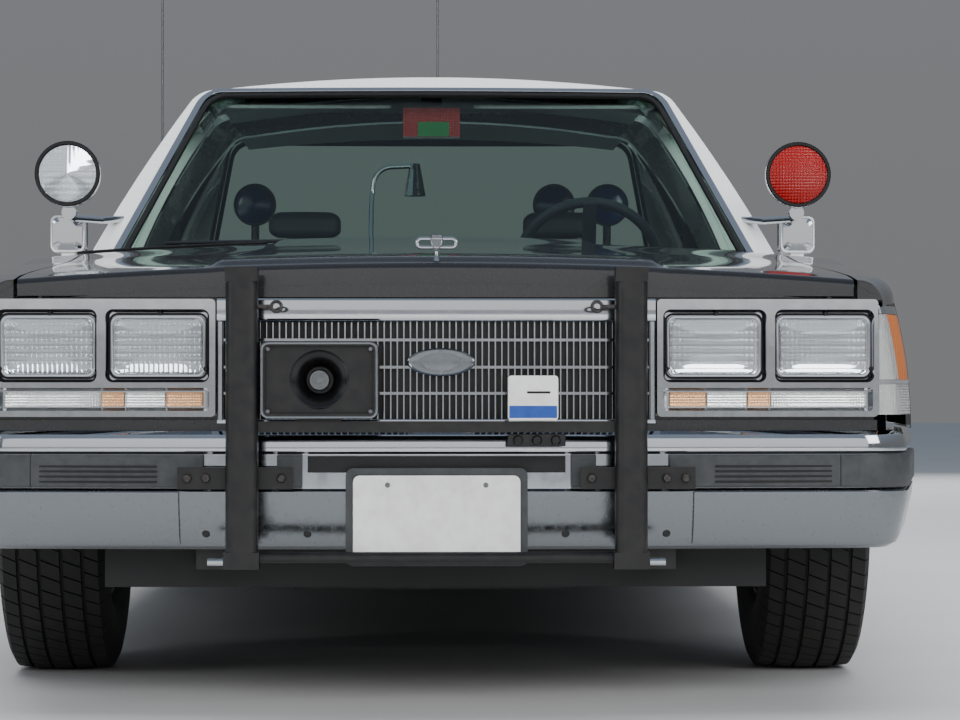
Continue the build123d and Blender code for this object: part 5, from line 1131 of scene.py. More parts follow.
class PATROL_OT_lids(Piece, bpy.types.Operator):
    """Hood with a raised middle that steps down at sides and front, bare stand-up ring, and trunk lid"""
    bl_idname = "patrol.lids"
    bl_label = "Hood and trunk lid"

    def execute(self, context):
        front = Y_NOSE + 4

        def raised(x, y):
            """Lift of the hood's middle, 10.5 mm, inside side edges that draw together towards the glass."""
            edge = 396 + (340 - 396) * (y - front - 26) / 1430
            return 10.5 * smoothstep((edge + 25 - np.abs(x)) / 24) * smoothstep((y - front - 8) / 26)

        lid("hood_skin", "hood", hood_half, front, Y_COWL - 20, 773.0, raised)
        lid("trunk_skin", "trunk_lid", lambda y: 700.0, Y_TAIL - 1, Y_DECK, 869.0, lambda x, y: 0 * x)
        y, z = front + 24, ORNAMENT_Z
        strip("ornament_ring", facing(rounded(72, 16, 7.9, 8), 0, y, z), circle(3.6, 12), "chrome", "hood",
              BACKWARD, True)
        reach = np.abs(SHIELD).max(0)
        levels = [(1 - i / reach, y + d) for d, i in ((4, 0), (-3.0, 0), (-4.2, 1.5), (-3.4, 3), (-3.4, 9))]
        stacked("ornament_shield", SHIELD, 0, z, levels, "satin", "hood", sharp=25)
        lathe("ornament_stem", STEM, (0, y, z - 36), UP, "chrome", "hood", 18)
        strip("trunk_lip", xyz((-690, 690), Y_TAIL - 2.4, 874), rounded(5, 8, 2), "chrome", "trunk_lid")
        lathe("trunk_lock", [(0.01, 0), (12, 0), (14, 2), (14, 5), (0.01, 5)], (0, Y_TAIL - 5, 886), BACKWARD,
              "chrome", "trunk_lid", 24)
        return {"FINISHED"}


class PATROL_OT_glazing(Piece, bpy.types.Operator):
    """Bright mouldings and rubber seals of windshield, rear window and side windows, and drip rails"""
    bl_idname = "patrol.glazing"
    bl_label = "Window mouldings"

    def execute(self, context):
        for tag, surface, up, corners in (
                ("windshield", shield_y, SHIELD_UP,
                 ((-752, 915), (-742, 940), (-578, 1360), (578, 1360), (742, 940), (752, 915))),
                ("backlight", backlight_y, BACK_UP, ((-709, 935), (-600, 1346), (600, 1346), (709, 935)))):
            line = dense(rounded_path(corners, 60), 25)
            strip(f"{tag}_moulding", on_glass(surface, line), rounded(17, 6, 2.4) + [0, 1.6], "chrome", up=up)
            inner = line * [1 - 14 / 660, 1] - [0, 9]
            strip(f"{tag}_seal", on_glass(surface, inner), rounded(13, 12, 3) - [0, 5], "rubber", up=up)
        # Strips along the feet of both windows, which sink towards the sides
        for name, surface, up, half, z, sink, out, profile, key in (
                ("windshield_foot_seal", shield_y, SHIELD_UP, 742, 944, 26, -2, (26, 14, 4), "rubber"),
                ("backlight_foot_moulding", backlight_y, BACK_UP, 700, 982, 30, 3, (16, 8, 3), "chrome")):
            line = on_glass(surface, dense([(-half, z), (half, z)]), out)
            line[:, 2] -= np.abs(line[:, 0]) / half * sink
            strip(name, line, rounded(*profile), key, up=up)
        gutter = rounded_path([(-937, 918), (-354, 1334), (752, 1334), (1020, 928)], 90)
        for name, s in SIDES:
            line = side_line(gutter, cabin_x, s, 3.0)
            strip(f"drip_rail_{name}", line, rounded(6, 9, 2), "chrome", up=(s, 0, 0.4))
            for door, corners in WINDOWS.items():
                body, places = f"{door}_{name}", [y for y, _ in corners]
                line = side_line(rounded_loop(corners, 14)[:-1], cabin_x, s, 1.0, 40)
                strip(f"{door}_reveal_{name}", line, rounded(8, 4, 1.5), "chrome", body, (s, 0, 0.35), True)
                line = side_line([(min(places) - 20, 925), (max(places) + 14, 925)], cabin_x, s, 2.0)
                strip(f"{door}_weatherstrip_{name}", line, rounded(12, 9, 3), "rubber", body)
        return {"FINISHED"}


MIRROR_X, MIRROR_Z = 868, 969
# Bright beads on the side mouldings: name, from, to
BEADS = (("fender", -1183, -1070), ("front_door", -1016, 34), ("rear_door", 96, 838))
# Door fittings: name, place from the handle's, height, outline, levels (distance out, inset)
DOOR_PLATES = (
    ("handle_cup", 0, 792, rounded(150, 44, 16), ((-4, 0), (1.8, 0), (2.6, 1.5), (2.2, 4), (2.0, 20))),
    ("handle", 4, 796, rounded(132, 22, 9), ((-2, 0), (8, 0), (10.5, 3), (11, 8))),
    ("lock", -2, 744, circle(10, 20), ((-4, 0), (1.8, 0), (2.6, 2), (1.6, 4))),
)


class PATROL_OT_side_trim(Piece, bpy.types.Operator):
    """Side mouldings, rocker trim, arch lips, handles, locks, mirrors, side lamps and fuel door"""
    bl_idname = "patrol.side_trim"
    bl_label = "Side trim"

    def execute(self, context):
        fenders = refined("fenders", "dark", 1.0, 32.0)
        tint(fenders, "pad", (940, -1250, PAD_LOW), (1000, -1040, PAD_HIGH))
        middle = (PAD_LOW + PAD_HIGH) // 2
        for name, s in SIDES:
            outward = (s, 0, 0)
            for tag, y0, y1 in BEADS:
                body = f"{tag}_{name}" if "door" in tag else "root"
                line = side_line([(y0, middle), (y1, middle)], side_x, s, 9.5)
                strip(f"{tag}_bead_{name}", line, rounded(9, 2.4, 1), "chrome", body, outward)
            line = side_line([(-1150, 268), (820, 268)], side_x, s, 1.0)
            strip(f"rocker_trim_{name}", line, rounded(20, 3, 1.2), "satin", up=outward)
            # Wheel opening lips, down to the bumper's end on one side and to the sill on the other
            for tag, axle, foot, way in (("front", Y_FRONT_AXLE, 540, 1), ("rear", Y_REAR_AXLE, 430, -1)):
                a = np.linspace(0.02, 0.98, 60) * math.pi
                y, z = axle + (ARCH_R + 4) * np.cos(a), ARCH_Z + (ARCH_R + 4) * np.sin(a)
                line = xyz(s * side_x(y, z, 1.4), y, z)[(z > foot) | (way * (y - axle) > 0)]
                strip(f"arch_lip_{tag}_{name}", line, rounded(12, 2.6, 1.2), "dark", up=outward)
            for door, y in (("front_door", -58.0), ("rear_door", 780.0)):
                for part, along_y, z, outline, levels in DOOR_PLATES:
                    side_plate(f"{door}_{part}_{name}", y + along_y, z, outline, levels, "chrome", s,
                               f"{door}_{name}")
            # Mirror: glass at the back of the housing, bright ring round it
            x, z, body = s * MIRROR_X, MIRROR_Z, f"front_door_{name}"
            strip(f"mirror_ring_{name}", facing(rounded(74, 80, 12, 6), x, -899.5, z), rounded(4, 5, 1.5, 3),
                  "chrome", body, BACKWARD, True)
            levels = ((1, -902), (1, -898.2))
            stacked(f"mirror_glass_{name}", rounded(70, 76, 11, 5), x, z, levels, "mirror", body)
            levels = ((0.5, -961.5), (0.84, -960.8), (0.95, -956), (0.99, -946), (1, -930), (1, -901))
            stacked(f"mirror_shell_{name}", rounded(84, 90, 16, 6), x, z, levels, "chrome", body)
            side_plate(f"rear_side_lamp_{name}", 2190, 600, rounded(110, 34, 6),
                       ((-4, 0), (1.6, 0), (2.6, 2), (3, 8)), "red", s)
            side_plate(f"rear_side_lamp_rim_{name}", 2190, 600, rounded(118, 42, 8),
                       ((-4, 0), (1.0, 0), (1.8, 1.2), (1.4, 3.6)), "chrome", s)
            side_plate(f"roof_pillar_seam_{name}", 1150, 938, rounded(180, 7, 3),
                       ((-3, 0), (1.2, 0), (1.8, 1)), "chrome", s, surface=cabin_x)
        side_plate("fuel_door", 1840, 752, rounded(150, 130, 14), ((-3, 0), (1.6, 0), (2.2, 1.2)), "dark", -1)
        return {"FINISHED"}


WIPER_PIVOTS = (-330.0, 300.0)
PIVOT_CAP = [(0.01, -4), (15, -4), (14, 10), (9, 16), (0.01, 16)]
AERIAL_BASE = [(0.01, 0), (17, 0), (17, 3), (12, 10), (7, 26), (4.5, 40), (0.01, 40)]


class PATROL_OT_cowl(Piece, bpy.types.Operator):
    """Rain gutters of the lids, wipers and louvred air intake before the windshield, and aerial bases"""
    bl_idname = "patrol.cowl"
    bl_label = "Cowl, wipers and aerial bases"

    def execute(self, context):
        # Rain gutters under the shut lines of the hood and the trunk lid
        for tag, y0, y1 in (("hood", Y_NOSE + 22, Y_COWL - 16), ("trunk", Y_DECK + 12, Y_TAIL - 24)):
            y = np.linspace(y0, y1, 14)
            x = hood_half(y) + 6 if tag == "hood" else 706.0
            for name, s in SIDES:
                path = xyz(s * x, y, crown_z(y, x) - 48)
                strip(f"{tag}_gutter_{name}", path, rounded(32, 3, 1, 3), "undercoat")
        x = np.arange(-600, 601, 24.0)
        y = -1092 + bowed(x, 30)
        z = crown_z(y, x, 0)
        boxes("cowl_slots", np.stack([x - 8, x + 8, y, y + 26, z - 3, z + 1.6], -1), "rubber")
        for i, pivot in enumerate(WIPER_PIVOTS):
            y = -1046.0 + bowed(pivot, 60)
            z = crown_z(y, pivot, 0)
            lathe(f"wiper_pivot_{i}", PIVOT_CAP, (pivot, y, z), UP, "gloss", count=20)
            tip = pivot - 300.0
            arm = np.stack([np.linspace(pivot, tip, 14), np.linspace(z + 10, 945, 14)], -1)
            arm = on_glass(shield_y, arm, -13)
            arm[0, 1] = y
            strip(f"wiper_arm_{i}", arm, rounded(12, 4, 1.5, 3), "gloss", up=SHIELD_UP)
            x = np.linspace(tip - 210, tip + 240, 24)
            blade = on_glass(shield_y, np.stack([x, 948.0 - (x / 742) ** 2 * 22], -1), -6)
            strip(f"wiper_blade_{i}", blade, rounded(6, 12, 2, 3), "rubber", up=SHIELD_UP)
        foot = crown_z(1793.5, 882.0, 0) - 3
        lathe("aerial_base_rear", AERIAL_BASE, (-882, 1793.5, foot), UP, "chrome", count=24)
        lathe("aerial_base_roof", AERIAL_BASE, (16, 365.5, 1407), UP, "gloss", count=24)
        return {"FINISHED"}


# Bumper details

# Front and rear bumper in plan: face, end place, half width at the corner and at the end, way inwards
BUMPERS = {"front": (Y_BUMPER, -2013.5, 862.0, 966.0, 1), "rear": (2713.0, 1895.5, 926.0, 964.0, -1)}
FACE_R, CORNER_BACK = 7000.0, 48
# Worn lower panels: out from the face line and height; heights of the pads' ribs
LOW_LEVELS = ((3.6, 416), (1.8, 396), (-13.0, 331), (-20.5, 317))
RIB_LEVELS = (434, 443.5, 453, 462)


def bumper_line(end, out=0.0):
    """Plan line of a bumper's face from side to side, a shallow arc with rounded corners, out mm outwards."""
    face, end_y, corner, last, inward = BUMPERS[end]
    lift = 0.0
    for _ in range(4):
        lift = FACE_R * (1 / math.cos(math.atan2(CORNER_BACK + lift, corner)) - 1)
    corners = [(-last, end_y), (-corner, face + inward * CORNER_BACK), (0, face - inward * lift)]
    left = rounded_path(corners, 110, 10)[:-1]
    middle = np.linspace(-corner + 100, corner - 100, 40)
    arc = np.stack([middle, face + inward * (FACE_R - np.sqrt(FACE_R**2 - middle**2))], -1)
    line = dense(np.concatenate([left, arc, left[::-1] * [-1, 1]]), 20)
    run = np.gradient(line, axis=0)
    run /= np.linalg.norm(run, axis=1, keepdims=True)
    return line + np.stack([run[:, 1], -run[:, 0]], -1) * out * inward


def along(line, z, low, high):
    """The stretch of a plan line between two distances to the car's left, at a height."""
    line = line[(line[:, 0] >= low) & (line[:, 0] <= high)]
    return xyz(line[:, 0], line[:, 1], z)


class PATROL_OT_bumper_trim(Piece, bpy.types.Operator):
    """Ribs on the rubber pads, worn lower bumper panels with holes, and dark fillers behind and between"""
    bl_idname = "patrol.bumper_trim"
    bl_label = "Bumper trim"

    def execute(self, context):
        # For each bumper: inner ends of its ribs and of its lower panels
        for end, rib_start, low_start, way in (("front", 503, 452, 1), ("rear", 300, 30, -1)):
            levels = [(bumper_line(end, out), z) for out, z in LOW_LEVELS]
            for name, s in SIDES:
                for i, z in enumerate(RIB_LEVELS):
                    line = mirrored(along(bumper_line(end, 6.6), z, rib_start, 738), s)
                    strip(f"pad_rib_{end}_{name}_{i}", line, rounded(2.6, 3.4, 1), "rubber")
                rows = [along(line, z, low_start, 1000) for line, z in levels]
                count = min(map(len, rows))
                grid = mirrored([r[:count] for r in rows], s)
                panel(f"bumper_low_{end}_{name}", grid, 5.0 * s * way, "satin", bevel=1.6)
            # Dark filler between the bumper's top and the body
            filler = [np.insert(bumper_line(end, out), 2, z, axis=1) for out, z in ((-14, 519), (-78, 523))]
            panel(f"bumper_filler_{end}", filler, 2.0, "rubber")
        strip("plate_slot", along(bumper_line("front", -4.0), 466, -243, 243), rounded(5, 30, 2), "rubber")
        holes = [(s * x, Y_BUMPER + 22 + x**2 / (2 * FACE_R), 340) for s in (-1, 1) for x in (235, 420, 560)]
        studs("bumper_bolts", holes, 8, 6, FORWARD, "gloss", count=12)
        return {"FINISHED"}


# Wheels

WHEELS = tuple((f"{end}_{name}", s * WHEEL_X, y, s)
               for end, y in (("front", Y_FRONT_AXLE), ("rear", Y_REAR_AXLE)) for name, s in SIDES)
SIDEWALL = ((92, RIM_R), (TYRE_HALF, 269), (106.5, 326))
# Tread: middle lines of the round grooves, and half width of the tread
GROOVES, TREAD_HALF = (66.0, 23.0), 97.5
WHEEL_RING = [(195, 88), (193, 94.5), (187, 95), (181, 91), (172, 74), (170, 74), (179, 88), (184, 90)]
WHEEL_CAP = [(0.01, 82), (18, 81), (34, 77), (44, 72), (48, 67), (48, 63), (0.01, 63)]
VALVE = [(0.01, 0), (4, 0), (4, 14), (3, 26), (0.01, 26)]


def sidewall(count):
    """Points on the arc of the tyre's sidewall, (from the tyre's middle, radius)."""
    x, z, r = through_three(*SIDEWALL)
    angles = np.unwrap([math.atan2(pz - z, px - x) for px, pz in SIDEWALL])
    t = np.linspace(angles[0], angles[2], count)
    return np.stack([x + r * np.cos(t), z + r * np.sin(t)], -1)


def tyre_rings(x, y, lugs, groove, depth):
    """Tyre surface: sidewall arcs, round grooves and lug notches cut into a bowed tread."""
    wall, half = sidewall(11), groove / 2
    tread = [TREAD_HALF, 92.0]
    for g, rib in zip(GROOVES, (47.5, 7.0)):
        tread += [g + half, g + half - 1.2, g - half + 1.2, g - half, rib]
    across = np.array(tread + [-v for v in tread[::-1]])
    radius = TYRE_R - 6 * (across / TREAD_HALF) ** 2
    for g in GROOVES:
        radius[np.abs(np.abs(across) - g) < half - 1.0] -= depth
    profile = np.concatenate([wall, np.stack([across, radius], -1), wall[::-1] * [-1, 1]])
    share = np.array((0, 0.03, 0.05, 0.13, 0.15, 0.55))
    turn = (np.arange(lugs)[:, None] + share[None]).ravel() / lugs * 2 * math.pi
    notch = np.tile((share > 0.04) & (share < 0.14), lugs)
    quarter = 0.5 * math.pi / lugs
    rings = []
    for px, pr in profile:
        row = abs(px)
        # Rows of lugs stand staggered and slightly slanted; the sidewalls follow the outer rows
        shift = quarter * (3 if row > 70 else 2 if row > 27 else 0)
        shift += px * 0.0012 if row <= TREAD_HALF + 0.1 else math.copysign(0.117, px)
        on_block = 97 > row > 70 or 62 > row > 27 or row < 19 or abs(row - TREAD_HALF) < 1
        cut = depth * 0.7 if on_block else 1.6 if TREAD_HALF + 0.1 < row < 108 and pr > 300 else 0
        r = pr - np.where(notch, cut, 0)
        rings.append(xyz(x + px, y + r * np.cos(turn + shift), TYRE_R + r * np.sin(turn + shift)))
    return rings


class PATROL_OT_wheels(Piece, bpy.types.Operator):
    """Tyres with grooves and lugs, and silver steel wheels with bright caps, rings, nuts and valves"""
    bl_idname = "patrol.wheels"
    bl_label = "Wheels and tyres"

    def execute(self, context):
        settings = context.scene.patrol_tyres
        line = sidewall(40)
        for tag, x, y, s in WHEELS:
            body, centre, axis = f"wheel_{tag}", (x, y, TYRE_R), (s, 0, 0)
            rings = tyre_rings(x, y, settings.lugs, settings.groove / MM, settings.depth / MM)
            tyre = loft(f"tread_{tag}", rings, "tyre", body, True, sharp=30)
            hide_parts(f"tyre_{tag}")
            for i, r in enumerate((222.0, 296.0)):
                out = line[np.abs(line[:, 1] - r).argmin(), 0] - 0.3
                lathe(f"tyre_bead_{tag}_{i}", [(r - 2.5, 0), (r, 1.0), (r + 2.5, 0), (r, -2)],
                      (x + s * out, y, TYRE_R), axis, "tyre", body, 96, wrap=True)
            refined(f"rim_{tag}", "wheel", 0.8, 30, body)
            lathe(f"wheel_ring_{tag}", WHEEL_RING, centre, axis, "chrome", body, 72, wrap=True)
            lathe(f"wheel_cap_{tag}", WHEEL_CAP, centre, axis, "chrome", body, 48)
            nuts = circle(78, 5)
            nuts = xyz(x + s * 48, y + nuts[:, 0], TYRE_R + nuts[:, 1])
            studs(f"wheel_nuts_{tag}", nuts, 9.5, 14, axis, "steel", body)
            lathe(f"valve_{tag}", VALVE, (x + s * 58, y + 166, TYRE_R), axis, "rubber", body, 12)
        return {"FINISHED"}


# Cabin


def cushion(name, outline, x0, x1, material, pleats=0, puff=7.0):
    """Padded block: a side-view outline carried across, drawn in at its ends, swollen between and pleated."""
    loop = dense(rounded_loop(outline, 30, 5))[:-1]
    out = loop - loop.mean(0)
    out /= np.linalg.norm(out, axis=1, keepdims=True)
    half, end = (x1 - x0) / 2, 34
    tight = 0.12 * np.linspace(0, 1, 7) ** 2
    rings = []
    for t in np.concatenate([tight - 1, np.linspace(-0.85, 0.85, 45), 1 - tight[::-1]]):
        edge = max(abs(t) - (1 - end / half), 0) * half / end
        drawn = 26 * (1 - math.sqrt(max(1 - edge**2, 0)))
        swell = puff * (1 - t * t)
        if pleats and abs(t) < 0.9:
            swell -= 5.0 * (1 - abs(math.sin(math.pi * pleats * (t / 0.9 + 1) / 2))) ** 3
        ring = loop + out * (swell - drawn - puff)
        rings.append(xyz((x0 + x1) / 2 + half * t, ring[:, 0], ring[:, 1]))
    obj = loft(name, rings, material, sharp=70)
    return obj


# Seat outlines in side view, from the centre post for the front ones and from the rear seat's back
SEAT_LOWER = np.array([(-505, 470), (-508, 586), (-70, 560), (-20, 500), (-40, 456), (-490, 456)])
SEAT_UPPER = np.array([(-64, 566), (58, 986), (176, 978), (82, 566), (10, 470), (-30, 500)])
RESTRAINT = np.array([(74, 1016), (79, 1088), (149, 1086), (155, 1014)])
REAR_LOWER = np.array([(-398, 345), (-466, 556), (-438, 598), (-190, 574), (-60, 480), (-60, 340)])
REAR_UPPER = np.array([(-190, 580), (-84, 878), (-6, 878), (-6, 480), (-70, 470)])
Y_REAR_SEAT = 994.5
# Left belt from its anchor down, from the centre post
BELT = np.array([(716, 6, 1150), (708, 30, 1010), (690, 30, 800), (664, 10, 610)])
# Front bench: name, from, to, pleats
BENCH = (("left", 118, 638, 5), ("middle", -112, 112, 2), ("right", -638, -118, 5))


class PATROL_OT_seats(Piece, bpy.types.Operator):
    """Front bench in three parts, head restraints on bright posts, rear bench, seat base and belts"""
    bl_idname = "patrol.seats"
    bl_label = "Seats and belts"

    def execute(self, context):
        y, front, rear = Y_POST, (Y_POST, 0), (Y_REAR_SEAT, 0)
        for tag, x0, x1, pleats in BENCH:
            seat = cushion(f"seat_cushion_{tag}", SEAT_LOWER + front, x0, x1, "cloth", pleats)
            cushion(f"seat_back_{tag}", SEAT_UPPER + front, x0, x1, "cloth", pleats, 5.0)
            if tag == "left":
                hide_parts("front_seat")
        boxes("seat_base", [(s * 160, s * 578, y - 436, y - 44, 329, 452) for s in (-1, 1)], "black", bevel=4)
        for name, s in SIDES:
            x0, x1 = sorted((s * 251, s * 449))
            cushion(f"head_restraint_{name}", RESTRAINT + front, x0, x1, "vinyl", puff=3.0)
            for i, x in enumerate((296, 404)):
                lathe(f"restraint_post_{name}_{i}", [(5, 0), (5, 70)], (s * x, y + 111, 958), UP, "chrome",
                      count=14)
            belt = dense(mirrored(BELT + (0, y, 0), s), 40)
            strip(f"belt_{name}", belt, rounded(1.6, 46, 0.7, 3), "carpet", up=(s, 0.2, 0))
            lathe(f"belt_anchor_{name}", [(0.01, 0), (22, 0), (20, 8), (0.01, 10)], (s * 722, y + 6, 1160),
                  (-s, 0, 0), "gloss", count=20)
        seat = cushion("rear_cushion", REAR_LOWER + rear, -634, 634, "vinyl", 9, 5.0)
        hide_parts("rear_seat")
        cushion("rear_back", REAR_UPPER + rear, -634, 634, "vinyl", 9, 4.0)
        return {"FINISHED"}


# Direction and hub of the steering column; profiles of horn pad and deck lamps; line of the map lamp's neck
COLUMN, WHEEL_HUB = (0, 0.8988, 0.4384), (390.0, -554.5, 906.0)
HORN_PAD = [(0.01, 14), (30, 13), (46, 9), (52, 2), (50, -10), (0.01, -10)]
DOME = [(0.01, -12), (24, -9), (44, -5), (56, -1), (61, 4), (61, 15), (58, 15), (0.01, 15)]
DOME_RIM = [(58, -2), (63, -2), (64, 6), (58, 6)]
MAP_NECK = [(-152, -795, 846), (-152, -795, 950), (-152, -665, 1070), (-142, -665, 1148), (-50, -665, 1152)]
# Blocks on the dash and the floor: name, material, bevel, rows
CABIN_BLOCKS = (
    ("cluster_face", "gloss", 1, [(222, 558, -738.5, -733, 838, 892)]),
    ("radio_face", "gloss", 1, [(-60, 150, -741, -735, 760, 812)]),
    ("dash_vents", "rubber", 0, [(x, x + 96, -752, -742, 838, 842) for x in (-640, -180, 60, 590)]),
    ("two_way_radio", "gloss", 2, [(-110, 110, -800, -640, 885, 930)]),
    ("warning_lamp_sticker", "green", 0, [(-38, 42, -391.4, -389, 1249, 1286)]),
    ("carpet", "carpet", 0, [(-700, 700, -1000, -520, 329, 334), (-620, 620, 110, 560, 329, 334)]),
)
# Door armrests and trims: two blocks a door, side to side, along and up
ARMRESTS = (("front_door", ((788, 822, -690, -120, 660, 700), (800, 822, -860, 30, 560, 640))),
            ("rear_door", ((788, 822, 180, 640, 660, 700), (800, 822, 120, 700, 560, 640))))


class PATROL_OT_cabin(Piece, bpy.types.Operator):
    """Dash with its cluster and vents, steering wheel, headliner, visors, door trims and cabin lamps"""
    bl_idname = "patrol.cabin"
    bl_label = "Cabin fittings"

    def execute(self, context):
        refined("dashboard", "plastic", 4.0)
        refined("steering_wheel", "vinyl", 2.0, 40, "steering_wheel")
        refined("parcel_shelf", "carpet", 1.5)
        lathe("horn_pad", HORN_PAD, WHEEL_HUB, COLUMN, "gloss", "steering_wheel")
        for name, key, bevel, rows in CABIN_BLOCKS:
            boxes(name, rows, key, bevel=bevel)
        studs("cluster_dials", xyz((262, 340, 440, 518), -733.5, 866), 21, 2.0, BACKWARD, "satin", count=28)
        studs("radio_knobs", xyz((-40, 130), -735, 786), 10, 14, BACKWARD, "satin", count=18)
        strip("turn_stalk", dense([(344, -590, 890), (210, -575, 925)], 40), circle(5, 12), "gloss")
        # Headliner under the roof, drawn in at its edges
        grid = []
        for y in np.linspace(-330, 800, 30):
            _, rail, rail_z, roof_z = cabin_rows(y)
            rail -= 92
            x = np.linspace(-rail, rail, 41)
            grid.append(xyz(x, y, (roof_z - 44) - (roof_z - rail_z - 30) * (x / rail) ** 2))
        panel("headliner", grid, -5.0, "liner", bevel=1.5)
        visor = rounded(470, 150, 24, 6)
        for name, s in SIDES:
            rings = [xyz(s * 318 + visor[:, 0] * 0.9, -344 + visor[:, 1] * 0.9, 1330 + visor[:, 1] * 0.1 + t)
                     for t in (-5, 5)]
            loft(f"visor_{name}", rings, "liner", bevel=3)
            for door, rows in ARMRESTS:
                rows = [(s * a, s * b, *rest) for a, b, *rest in rows]
                boxes(f"{door}_armrest_{name}", rows, "plastic", f"{door}_{name}", bevel=6)
        # Cabin lamps: red box, dark blue domes, bent bright neck with a dark shade
        strip("map_lamp_neck", rounded_path(MAP_NECK, 60), circle(6, 16), "chrome", up=BACKWARD)
        lamps = refined("interior_lamps", "gloss", 1.0)
        tint(lamps, "red", (0, -392, 1240), (80, -326, 1323))
        tint(lamps, "chrome", (50, -820, 840), (170, -600, 1175))
        tint(lamps, "navy", (300, 880, 1088), (600, 960, 1212))
        for i, x in enumerate((-528.0, 368.0, 528.0)):
            centre = (x, 893.5, 1150)
            lathe(f"deck_lamp_{i}", DOME, centre, BACKWARD, "navy", count=36)
            lathe(f"deck_lamp_rim_{i}", DOME_RIM, centre, BACKWARD, "rubber", count=36, wrap=True)
        return {"FINISHED"}


class PATROL_OT_tail(Piece, bpy.types.Operator):
    """Tail lamps with clear backing cells and bright ribs, and the trim of the rear panel"""
    bl_idname = "patrol.tail"
    bl_label = "Tail lamps and rear trim"

    def execute(self, context):
        refined("tail_lamps", "red", 1.0)
        rear = Y_TAIL + 0.8
        levels = [(k, rear + y) for k, y in ((1, -12), (1, 0.8), (0.97, 1.6), (0.5, 1.8))]
        for name, s in SIDES:
            lamp = stacked(f"backup_lamp_{name}", rounded(150, 82, 6, 5), s * 452, 750, levels, "clear")
            for i, z in enumerate((645.5, 855.5)):
                line = xyz((s * 333, s * 900), rear + 0.6, z)
                strip(f"tail_rib_{name}_{i}", line, rounded(4, 7, 1.5, 3), "chrome")
            for i, x in enumerate((333, 372, 532, 572, 700, 830)):
                line = xyz(s * x, rear + 0.6, (646, 855))
                strip(f"tail_bar_{name}_{i}", line, rounded(4, 5, 1.5, 3), "chrome", up=BACKWARD)
        for tag, z in (("low", 640), ("high", 856)):
            strip(f"tail_panel_trim_{tag}", xyz((-322, 322), rear - 1.0, z), rounded(4, 7, 1.5, 3), "chrome")
        return {"FINISHED"}


CAMERA_PLACE = (-0.025, -8.09, 0.61)
CAMERA_PITCH, CAMERA_YAW = 0.48, 1.09
FLOOR_REACH = 40.0
# Soft lights: name, place, aim, size across, size up, power share, seen in bright trim
LIGHTS = (
    ("overhead", (0.0, -0.5, 7.0), (0, -0.5, 0), 9.0, 9.0, 0.9, False),
    ("front_key", (2.0, -13.0, 5.0), (0, -2.0, 0.7), 8.0, 4.0, 1.5, False),
    ("front_card", (0.0, -15.0, 3.9), (0, -5.0, 3.9), 18.0, 5.8, 0.27, True),
    ("low_card", (0.0, -14.5, 0.5), (0, -5.0, 0.5), 18.0, 1.0, 0.018, True),
    ("front_left", (6.5, -8.0, 3.6), (0, -1.8, 0.6), 3.5, 3.0, 0.16, True),
    ("front_right", (-7.0, -7.0, 3.0), (0, -1.8, 0.6), 3.0, 3.0, 0.12, True),
    ("rear", (0.0, 11.5, 4.2), (0, 1.0, 0.8), 12.0, 4.4, 0.9, False),
)


def studio_world():
    """Backdrop that grows lighter with height, from mid grey at eye level."""
    world = bpy.data.worlds.new("Studio")
    world.use_nodes = True
    nodes, links = world.node_tree.nodes, world.node_tree.links
    place, split, height, tones = (
        nodes.new("ShaderNode" + kind) for kind in ("TexCoord", "SeparateXYZ", "MapRange", "Mix"))
    height.interpolation_type = "SMOOTHSTEP"
    height.inputs["From Min"].default_value, height.inputs["From Max"].default_value = 0.02, 0.6
    tones.data_type = "RGBA"
    tones.inputs[6].default_value = (0.24, 0.245, 0.25, 1)
    tones.inputs[7].default_value = (0.34, 0.40, 0.50, 1)
    sky = nodes["Background"]
    sky.inputs[1].default_value = 0.8
    links.new(place.outputs["Generated"], split.inputs[0])
    links.new(split.outputs[2], height.inputs["Value"])
    links.new(height.outputs[0], tones.inputs[0])
    links.new(tones.outputs[2], sky.inputs[0])
    return world


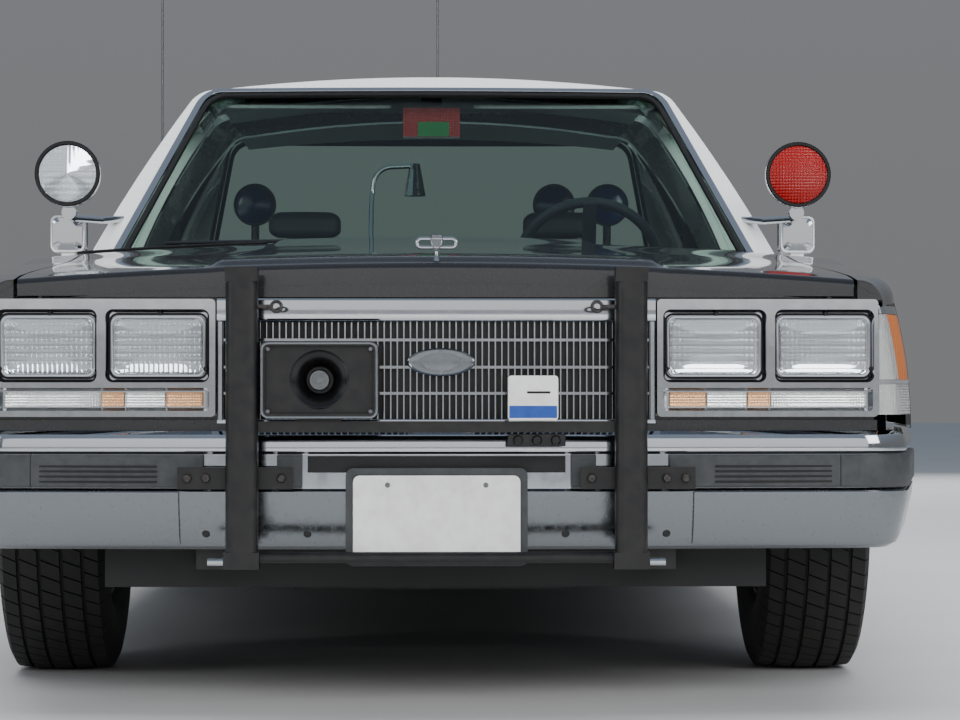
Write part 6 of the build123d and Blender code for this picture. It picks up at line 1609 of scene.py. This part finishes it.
class PATROL_OT_stage(Piece, bpy.types.Operator):
    """Adds the plain floor, the soft lights and the camera"""
    bl_idname = "patrol.stage"
    bl_label = "Stage"

    def execute(self, context):
        scene, settings = context.scene, context.scene.patrol_stage
        # Pale concrete in two near tones
        floor = Look("Pale concrete floor")
        tone = floor.ramp(floor.noise(900, 5, 0.6), 0.3, 0.7)
        darker = [c * 0.93 for c in settings.floor]
        floor.set(Base_Color=floor.mix(tone, linear(settings.floor), linear(darker)), Roughness=0.85)
        mesh = bpy.data.meshes.new("floor")
        corners = [(x * FLOOR_REACH, y * FLOOR_REACH, 0) for x, y in ((-1, -1), (1, -1), (1, 1), (-1, 1))]
        mesh.from_pydata(corners, [], [(0, 1, 2, 3)])
        mesh.materials.append(floor.material)
        made = [bpy.data.objects.new("floor", mesh)]
        for name, place, aim, wide, high, share, seen in LIGHTS:
            data = bpy.data.lights.new(name, "AREA")
            data.shape, data.size, data.size_y = "RECTANGLE", wide, high
            data.energy = settings.key * share
            lamp = bpy.data.objects.new(name, data)
            lamp.location = place
            lamp.visible_glossy = seen
            lamp.rotation_euler = (Vector(aim) - lamp.location).to_track_quat("-Z", "Y").to_euler()
            made.append(lamp)
        scene.world = studio_world()
        data = bpy.data.cameras.new("camera")
        data.sensor_width, data.lens, data.clip_end = 36.0, settings.lens, 200.0
        camera = bpy.data.objects.new("camera", data)
        camera.location = CAMERA_PLACE
        camera.rotation_euler = (math.radians(90 + CAMERA_PITCH), 0, math.radians(-CAMERA_YAW))
        for obj in (*made, camera):
            scene.collection.objects.link(obj)
        scene.camera = camera
        return {"FINISHED"}


SETTINGS = (("patrol_paint", PaintSettings), ("patrol_tyres", TyreSettings),
            ("patrol_trim", TrimSettings), ("patrol_stage", StageSettings))
OPERATORS = tuple(Piece.__subclasses__())


class PATROL_PT_panel(bpy.types.Panel):
    """Lists the car's settings and pieces in the order they are made"""
    bl_idname = "PATROL_PT_panel"
    bl_label = "Patrol Car"
    bl_space_type = "VIEW_3D"
    bl_region_type = "UI"
    bl_category = "Patrol Car"

    def draw(self, context):
        for name, group in SETTINGS:
            box = self.layout.box()
            for key in group.__annotations__:
                box.prop(getattr(context.scene, name), key)
        for operator in OPERATORS:
            self.layout.operator(operator.bl_idname)


CLASSES = tuple(group for _, group in SETTINGS) + OPERATORS + (PATROL_PT_panel,)


def register():
    for cls in CLASSES:
        bpy.utils.register_class(cls)
    for name, group in SETTINGS:
        setattr(bpy.types.Scene, name, PointerProperty(type=group))


def unregister():
    for name, _ in SETTINGS:
        delattr(bpy.types.Scene, name)
    for cls in reversed(CLASSES):
        bpy.utils.unregister_class(cls)


def main():
    """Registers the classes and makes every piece."""
    register()
    for operator in OPERATORS:
        group, name = operator.bl_idname.split(".")
        getattr(getattr(bpy.ops, group), name)()


if __name__ == "__main__":
    main()
